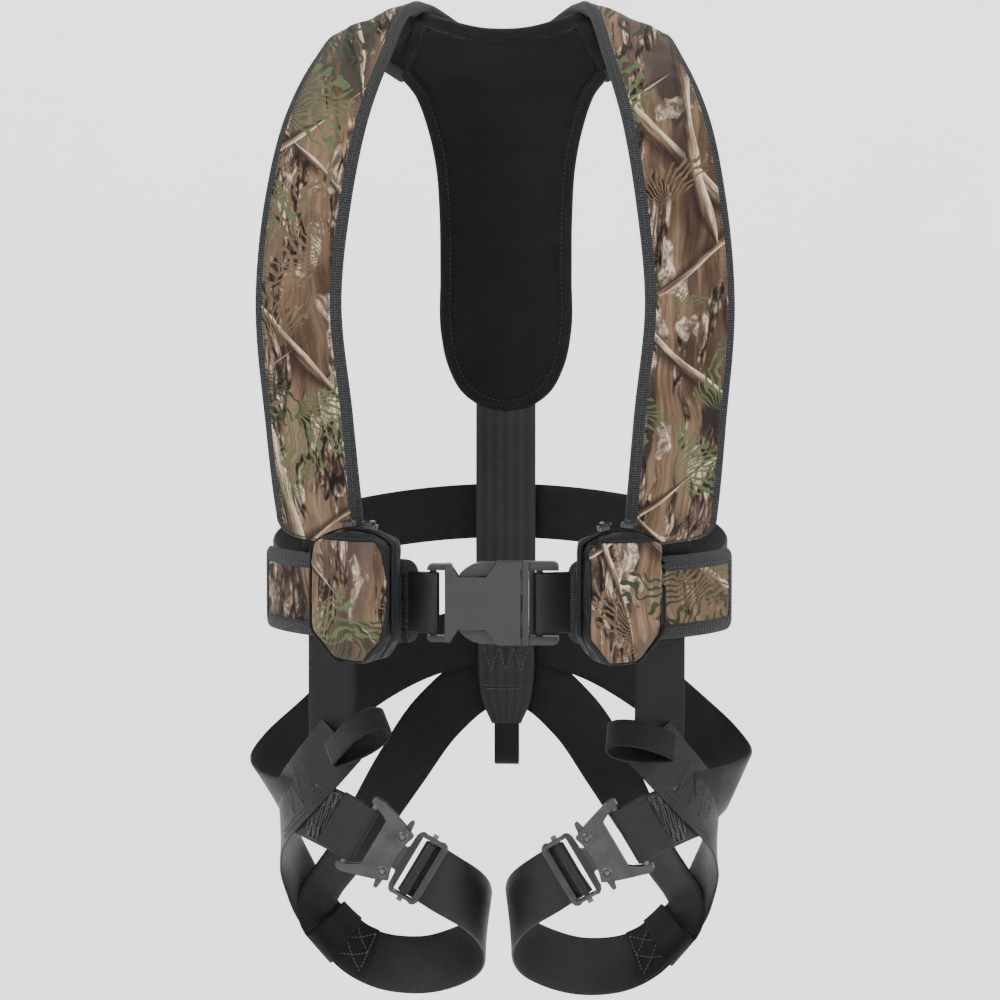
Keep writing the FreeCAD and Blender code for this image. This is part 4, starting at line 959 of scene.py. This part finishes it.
def sleeve(name, sections, material):
    """A hollow sleeve whose sections list the outer ring and then the inner one backwards."""
    size = len(sections[0]) // 2
    verts = [p for section in sections for p in section]
    faces, uvs = [], []
    wide, high = 0.0025, 0.003  # one face's share of the weave
    for i in range(len(sections) - 1):
        for ring in (0, size):
            for k in range(size):
                m = (k + 1) % size
                a, b = i * 2 * size + ring, (i + 1) * 2 * size + ring
                faces.append((a + k, a + m, b + m, b + k))
                u0, u1, v0, v1 = i * wide, i * wide + wide, k * high, k * high + high
                uvs.append([(u0, v0), (u0, v1), (u1, v1), (u1, v0)])
    for i in (0, len(sections) - 1):
        base = i * 2 * size
        for k in range(size):
            m = (k + 1) % size
            faces.append((base + k, base + m, base + 2 * size - 1 - m, base + 2 * size - 1 - k))
            v0, v1 = k * high, k * high + high
            uvs.append([(0, v0), (0, v1), (0.001, v1), (0.001, v0)])
    return mesh_object(name, verts, faces, uvs, material)


# ---- thigh buckles ----
LEG_PIN = np.array([103, -93, -182.5])
LEG_SLOPE = math.radians(30.5)


def leg_point(u, v, w, side):
    """A point in a thigh buckle's axes: towards the tongue, across, outward."""
    c, s = math.cos(LEG_SLOPE), math.sin(LEG_SLOPE)
    p = LEG_PIN + np.array([-c * u + s * v, -w, -s * u - c * v])
    return p * (side, 1, 1) * MM


def leg_wrap(name, side, at, radius, half, tails, body, node):
    """Webbing folded round a buckle's bar: tails is (u, w) points before and after, and the fold's angles."""
    before, after, turns = tails
    arc = [(at + radius * math.cos(a), radius * math.sin(a)) for a in np.linspace(*turns, 11)]
    points = [leg_point(u, 0, w, side) for u, w in before + arc + after]
    c, s = math.cos(LEG_SLOPE), math.sin(LEG_SLOPE)
    obj = loop_band(name, points, 2 * half, 1.8, GLOSSY, (s * side, 0, -c))
    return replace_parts(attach(obj, body), node)


def buckle_webbing(name, side, patch):
    leg_wrap(
        f"buckle_webbing_{name}", side, 0, 3.9, 22.5,
        (
            [(-26, -1.4), (-16, -2.4), (-8, -3.4)], [(-8, 3.0), (-16, 1.4), (-26, 0.4)],
            (-math.pi / 2, math.pi / 2),
        ),
        "harness", f"buckle_webbing_{name}",
    )
    sewn = webbing(f"hip_patch_{name}", patch, 3.4, GLOSSY, 0.6)
    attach(sewn, "harness")


def tongue_webbing(name, side):
    leg_wrap(
        f"tongue_webbing_{name}", side, 51, 3.9, 22,
        (
            [(62.5, -4.0), (58, -4.0), (54, -4.0)], [(54.2, 2.2), (54.7, 0.6), (54.6, -1.2)],
            (-math.pi / 2, -1.7 * math.pi),
        ),
        f"web_bar_{name}", f"tongue_webbing_{name}",
    )


# ---- belt ----
WAIST_A, WAIST_B = 178.0, 118.0
BAR_X = {"right": 45.0, "left": 35.0}  # the buckle's webbing bars


def waist_rows(start, stop, off, z, width, step=4.0):
    """Rows of a track round the belt line, between two angles from the front."""
    rows = []
    for a in np.linspace(start, stop, max(3, round(abs(stop - start) / step) + 1)):
        t = math.radians(a)
        n = unit(np.array([math.sin(t) / WAIST_A, -math.cos(t) / WAIST_B]))
        x, y = WAIST_A * math.sin(t) + n[0] * off, -WAIST_B * math.cos(t) + n[1] * off
        rows.append((x, y, z, n[0], n[1], 0, width))
    return rows


def waist_panel(name, side):
    body = "belt_left_half" if name == "left" else "harness"
    track = Track(waist_rows(18.5, 80, 3.7, 0, 62), side)
    shell = pad(f"waist_panel_{name}", track, -1.4, 1.4, 1.2, 9, True, CAMO, 18)
    points, outs, normals = strip_edge(track, 9, True)
    fold = tape_profile(10.5, 1.5, 1.9)
    tape = sweep_edge(f"waist_binding_{name}", points, outs, normals, fold, TAPE, True)
    for obj, slot in ((shell, "camo_cloth"), (tape, "binding_tape")):
        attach(obj, body)
        stands_for_node(obj)
    line = points - outs * 7.6 * MM + normals * 3.1 * MM
    lines = [(np.concatenate([line, line[:1]]), normals[[*range(len(line)), 0]])]
    stitch(f"waist_stitches_{name}", lines, body, 2.4, 1.6, 0.28, THREAD)


def belt_webbing(name, side):
    """The belt's front webbing, folded round its buckle bar."""
    body = "belt_left_half" if name == "left" else "harness"
    bar = np.array([BAR_X[name], -121.0])
    line = [(x, y) for x, y, *_ in waist_rows(68, 24, 0, 0, WEB)]
    start, end = np.array(line[-1]), bar + (5, 3.2)
    line += [tuple(start + (end - start) * k / 4) for k in (1, 2, 3, 4)]
    for a in np.linspace(math.radians(75), math.radians(285), 11):
        line.append((bar[0] + 3.9 * math.cos(a), bar[1] + 3.9 * math.sin(a)))
    start, end = bar + (5, -2.6), np.array([76.0, -108.8])
    line += [tuple(start + (end - start) * k / 4) for k in range(5)]
    points = np.array([(x * side, y, 0) for x, y in line]) * MM
    obj = loop_band(f"belt_webbing_{name}", points, WEB, 1.8, GLOSSY, (0, 0, 1))
    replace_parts(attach(obj, body), f"belt_webbing_{name}")


# ---- pouches ----
POUCH_X = {"left": 84.0, "right": 90.0}
POUCH_HALF, POUCH_TOP, POUCH_SHOULDER, POUCH_FOOT = 31.0, 57.0, 47.0, -43.0
POUCH_OFF, POUCH_DEPTH = 12.5, 42.0
POUCH_SPLIT = POUCH_OFF + POUCH_DEPTH / 2  # the zip's middle
POUCH_FACE = [(-28, 44), (-24, 50), (24, 50), (29, 45), (29.5, -18), (9, -41), (-14, -41), (-28, -23)]
DOME_RISE = POUCH_TOP - POUCH_SHOULDER


def pouch_frame(name, side):
    """(place, out): the point at u across, v up and w out of a pouch, in mm, and its outward direction."""
    t = math.asin(POUCH_X[name] / WAIST_A)
    out = unit(np.array([math.sin(t) / WAIST_A, -math.cos(t) / WAIST_B, 0]))
    along = np.array([-out[1], out[0], 0])
    at = np.array([WAIST_A * math.sin(t), -WAIST_B * math.cos(t), 0])

    def place(u, v, w):
        return (at + along * u + out * w + np.array([0, 0, v])) * (side, 1, 1) * MM

    return place, out * (side, 1, 1)


def pouch_corners(grow):
    """The pouch's outline as its dome and its straight sides' corners, as (u, v), grown by grow."""
    half, rise = POUCH_HALF + grow, DOME_RISE + grow
    r = (half**2 + rise**2) / (2 * rise)
    a = math.asin(min(half / r, 1))
    dome = [(r * math.sin(t), POUCH_SHOULDER + rise - r + r * math.cos(t)) for t in np.linspace(a, -a, 22)]
    foot = POUCH_FOOT - grow
    low = [(-half, -24), (-20 - 0.4 * grow, foot), (9 + 0.4 * grow, foot), (half, -18)]
    return dome, [dome[-1], *low, dome[0]]


def eased(line):
    """A closed line with its corners eased."""
    line = np.array(line)
    for _ in range(2):
        line = (np.roll(line, 1, axis=0) + 2 * line + np.roll(line, -1, axis=0)) / 4
    return line


def pouch_edge(grow, per=3.0):
    """The pouch's outline as (u, v) points, the same number of them for any growth, with eased corners."""
    dome, corners = pouch_corners(grow)
    plain = pouch_corners(0)[1]
    line = dome[:-1]
    for i in range(len(corners) - 1):
        p, q = corners[i], corners[i + 1]
        count = max(2, round(math.dist(plain[i], plain[i + 1]) / per))
        line += [(p[0] + (q[0] - p[0]) * k / count, p[1] + (q[1] - p[1]) * k / count) for k in range(count)]
    return eased(line)


def face_edge(grow):
    """The outline of a pouch's sewn front panel as (u, v) points, grown by grow, with eased corners."""
    line = []
    for (u, v), (u1, v1) in zip(POUCH_FACE, POUCH_FACE[1:] + POUCH_FACE[:1]):
        count = max(2, round(math.dist((u, v), (u1, v1)) / 2.5))
        line += [(u + (u1 - u) * k / count, v + (v1 - v) * k / count) for k in range(count)]
    line = eased(line)
    return line + grow * unit(line - (0, 4))


def shrunk(u, v, share):
    """A point of a pouch's outline brought towards its middle."""
    return u * share, 2 + (v - 2) * share


def bag(name, place, depths, material):
    """A closed bag through outlines at several depths: (depth, growth) pairs."""
    rings = [pouch_edge(grow) for _, grow in depths]
    size = len(rings[0])
    verts = [place(u, v, w) for ring, (w, _) in zip(rings, depths) for u, v in ring]
    faces = []
    for i in range(len(rings) - 1):
        faces += around(i * size, (i + 1) * size, size)
    for i in (0, len(rings) - 1):
        outer = i * size
        for share in (0.75, 0.5, 0.25):
            inner = len(verts)
            verts += [place(*shrunk(u, v, share), depths[i][0]) for u, v in rings[i]]
            faces += around(outer, inner, size)
            outer = inner
        faces.append(tuple(range(outer, outer + size)))
    return mesh_object(name, verts, faces, None, material)


def voxel(obj, size):
    """Remeshes a piece evenly, ready for cloth."""
    bpy.context.view_layer.objects.active = obj
    remesh = obj.modifiers.new("Remesh", "REMESH")
    remesh.mode, remesh.voxel_size = "VOXEL", size * MM
    bpy.ops.object.modifier_apply(modifier="Remesh")
    obj.data.polygons.foreach_set("use_smooth", [True] * len(obj.data.polygons))
    return obj


def pouch(name, side):
    place, out = pouch_frame(name, side)
    split, high = POUCH_SPLIT, POUCH_OFF + POUCH_DEPTH
    back = bag(f"pouch_back_{name}", place, [
        (POUCH_OFF, -6), (POUCH_OFF + 1.5, -3), (POUCH_OFF + 5, -1.2), (split - 6, -0.8), (split - 1, -1.5)
    ], BAG)
    front = bag(f"pouch_front_{name}", place, [
        (split, -1.5), (split + 5, -0.8), (high - 8, -1.5), (high - 3, -3.5), (high - 0.5, -7)
    ], BAG)
    for obj, cap in ((back, 1.6), (front, 4.0)):
        voxel(obj, 4.0)
        near = [i for i, v in enumerate(obj.data.vertices) if abs(depth_of(v.co, place, out) - split) < 3.2]
        SOFT.append((obj, 4.0, 0.03, cap, near))
    return back, front


def depth_of(co, place, out):
    return float(np.dot(np.array(co) - place(0, 0, 0), out)) / MM


def dress_pouch(name, side, back, front):
    """What is sewn on a pouch once its cloth has settled: face, piping, zip, belt loop."""
    body = f"pouch_{name}"
    place, out = pouch_frame(name, side)
    for obj in (back, front):
        refine(obj)
        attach(obj, body)
        stands_for_node(obj)
    graph = bpy.context.evaluated_depsgraph_get()
    tree = BVHTree.FromObject(front, graph)

    def on_front(u, v, lift):
        hit = tree.ray_cast(Vector(place(u, v, 90)), Vector(-out))  # from well in front
        found = np.array(hit[0]) if hit[0] is not None else place(u, v, 50)
        return found + out * lift * MM

    edge = face_edge(0)
    verts, faces = [], []
    size = len(edge)
    shares = [1.0, 0.98, 0.95, 0.92, 0.89, 0.86, 0.82, 0.77, 0.7, 0.6, 0.45, 0.3, 0.15]
    for layer in (1.5, -1.2):
        for share in shares:
            lift = layer - (1.5 if share == 1.0 and layer > 0 else 0)
            verts += [on_front(*shrunk(u, v, share), lift) for u, v in edge]
    for sheet in (0, 1):
        for i in range(len(shares) - 1):
            a = (sheet * len(shares) + i) * size
            faces += around(a, a + size, size)
        a = (sheet * len(shares) + len(shares) - 1) * size
        faces.append(tuple(a + k for k in range(size)))
    faces += around(0, len(shares) * size, size)
    face = mesh_object(f"pouch_face_{name}", verts, faces, None, CAMO)
    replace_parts(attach(face, body), f"pouch_face_{name}")
    rim = np.array([on_front(u, v, 0.4) for u, v in face_edge(0.7)])
    outs = unit(rim - rim.mean(axis=0))
    round_ = [(1.3 * MM * math.cos(a), 1.3 * MM * math.sin(a)) for a in np.linspace(0, 2 * math.pi, 9)[:-1]]
    piping = sweep_edge(f"pouch_piping_{name}", rim, outs, np.tile(out, (len(rim), 1)), round_, BAG, True)
    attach(piping, body)
    zip_tape(name, body, place, out)
    belt_loop(name, body, place)


def zip_tape(name, body, place, out):
    """Two zip tapes round the pouch's middle with the coil between them."""
    line = [p for p in pouch_edge(0.6, 1.5) if p[1] > -22]
    order = sorted(line, key=lambda p: math.atan2(p[0], p[1]))
    points = np.array([place(u, v, POUCH_SPLIT) for u, v in order])
    centre = place(0, 10, POUCH_SPLIT)
    along = unit(np.gradient(points, axis=0))
    outs = unit(np.cross(along, out))
    if np.dot(outs[len(outs) // 2], points[len(outs) // 2] - centre) < 0:
        outs = -outs
    half = [(-0.6, 4.5), (0.3, 4.5), (0.5, 1.4), (0.3, 1.2)]
    flat = [(a, -b) for a, b in half] + half[::-1]
    profile = [(a * MM, b * MM) for a, b in flat]
    normals = np.tile(out, (len(points), 1))
    tape = sweep_edge(f"pouch_zip_{name}", points, outs, normals, profile, TAPE_DARK, False)
    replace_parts(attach(tape, body), f"pouch_zip_{name}")
    run = distances(points)
    coil, step = [], 0.25 * MM
    for k in range(int(run[-1] / step)):
        p, o = (along_line(k * step, run, c) for c in (points, outs))
        a = k * math.pi / 3
        coil.append(tuple(p + o * (0.55 + 0.35 * math.cos(a)) * MM + out * 1.0 * math.sin(a) * MM))
    curve = bpy.data.curves.new(f"zip_coil_{name}", "CURVE")
    curve.dimensions = "3D"
    curve.bevel_depth, curve.bevel_resolution = 0.18 * MM, 1
    spline = curve.splines.new("POLY")
    spline.points.add(len(coil) - 1)
    for point, at in zip(spline.points, coil):
        point.co = (*at, 1)
    curve.materials.append(BAG)
    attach(link(f"zip_coil_{name}", curve), body)


def belt_loop(name, body, place):
    """The loop on a pouch's back that the belt runs through."""
    line = [(34.2, 12), (34.2, 2), (33, -2.4), (24, -3), (-24, -3), (-33, -2.4), (-34.2, 2), (-34.2, 12)]
    points = np.array([place(0, v, w) for v, w in line])
    side_way = unit(place(1, 0, 0) - place(0, 0, 0))
    obj = loop_band(f"pouch_loop_{name}", points, 24, 1.2, WEBBING, side_way)
    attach(obj, body)


# ---- hardware carried over from the CAD ----
def hardware():
    """Gives each hard CAD part its material and softened edges."""
    finishes = {
        "belt_socket": PLASTIC, "belt_plug": PLASTIC, "plug_arm": PLASTIC, "leg_socket": COATED,
        "leg_tongue": COATED, "leg_lever": COATED, "leg_rivets": RIVET, "slide_bar": RIVET,
        "zip_slider": ZIP_METAL,
    }
    for name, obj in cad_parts.items():
        found = [m for key, m in finishes.items() if name.startswith(key)]
        if not found:
            continue
        obj.data.materials.clear()
        obj.data.materials.append(found[0])
        bevel = obj.modifiers.new("Bevel", "BEVEL")
        bevel.width = 0.6 * MM if found[0] is PLASTIC else 0.35 * MM
        bevel.segments = 2
        bevel.limit_method = "ANGLE"
        bevel.angle_limit = math.radians(35)
        bevel.harden_normals = True
        bevel.use_clamp_overlap = True
        obj.data.polygons.foreach_set("use_smooth", [True] * len(obj.data.polygons))
        obj.data.set_sharp_from_angle(angle=math.radians(35))


# ---- stage ----
def backdrop():
    """A pale bowl round the harness, so every side of it has the same floor and wall behind it."""
    floor, wall, bend, count = -0.8, 5.4, 1.2, 64
    line = [(0.02, floor), (wall - bend, floor)]
    line += [
        (wall - bend + bend * math.sin(a), floor + bend - bend * math.cos(a))
        for a in np.linspace(0.1, math.pi / 2, 10)
    ]
    line += [(wall, 5.5)]
    size, verts, faces = len(line), [], []
    for k in range(count):
        turn = 2 * math.pi * k / count
        verts += [(r * math.cos(turn), r * math.sin(turn), z) for r, z in line]
    for k in range(count):
        a, b = k * size, (k + 1) % count * size
        faces += [(a + i, a + i + 1, b + i + 1, b + i) for i in range(size - 1)]
    faces.append(tuple(k * size for k in range(count)))
    m = Nodes("backdrop_paper", Roughness=0.95, Specular_IOR_Level=0.1, Emission_Strength=0.5)
    paper = m.ramp(m.noise(m.where(), 3.0), [(0.3, (0.92, 0.92, 0.92)), (0.7, (0.95, 0.95, 0.95))])
    m.tree.links.new(paper, m.shader.inputs["Emission Color"])
    m.done(paper)
    mesh_object("backdrop", verts, faces, None, m.material)


def light(name, at, size, power, aim=(0, 0, 0.05)):
    data = bpy.data.lights.new(name, "AREA")
    data.shape, data.size, data.energy = "DISK", size, power
    obj = link(name, data)
    obj.location = at
    obj.rotation_euler = (Vector(aim) - Vector(at)).to_track_quat("-Z", "Y").to_euler()


def studio():
    backdrop()
    world = bpy.data.worlds.new("studio")
    bpy.context.scene.world = world
    world.use_nodes = True
    world.node_tree.nodes["Background"].inputs["Color"].default_value = (1, 1, 1, 1)
    world.node_tree.nodes["Background"].inputs["Strength"].default_value = 0.75
    light("key_light", (-1.6, -2.6, 2.2), 1.3, 110)
    light("fill_light", (2.2, -2.2, 0.9), 1.6, 45)
    light("top_light", (0.3, 0.4, 2.6), 1.4, 35)
    azimuth, elevation, distance = math.radians(2.5), math.radians(6), 3.2
    target = Vector((0, 0, 0.065))
    back = Vector((
        math.sin(azimuth) * math.cos(elevation), -math.cos(azimuth) * math.cos(elevation), math.sin(elevation)
    ))
    data = bpy.data.cameras.new("camera")
    data.lens, data.sensor_width = 147.7, 36
    camera = link("camera", data)
    camera.location = target + back * distance
    camera.rotation_euler = (-back).to_track_quat("-Z", "Y").to_euler()
    bpy.context.scene.camera = camera


# ---- build ----
yoke()
back_straps()
back_belt()
bags = {}
for name, side in SIDES.items():
    shoulder_strap(name, side)
    side_straps(name, side)
    waist_panel(name, side)
    belt_webbing(name, side)
    tongue_webbing(name, side)
    bags[name] = pouch(name, side)
inflate(SOFT)
for name, side in SIDES.items():
    dress_pouch(name, side, *bags[name])
hardware()
studio()
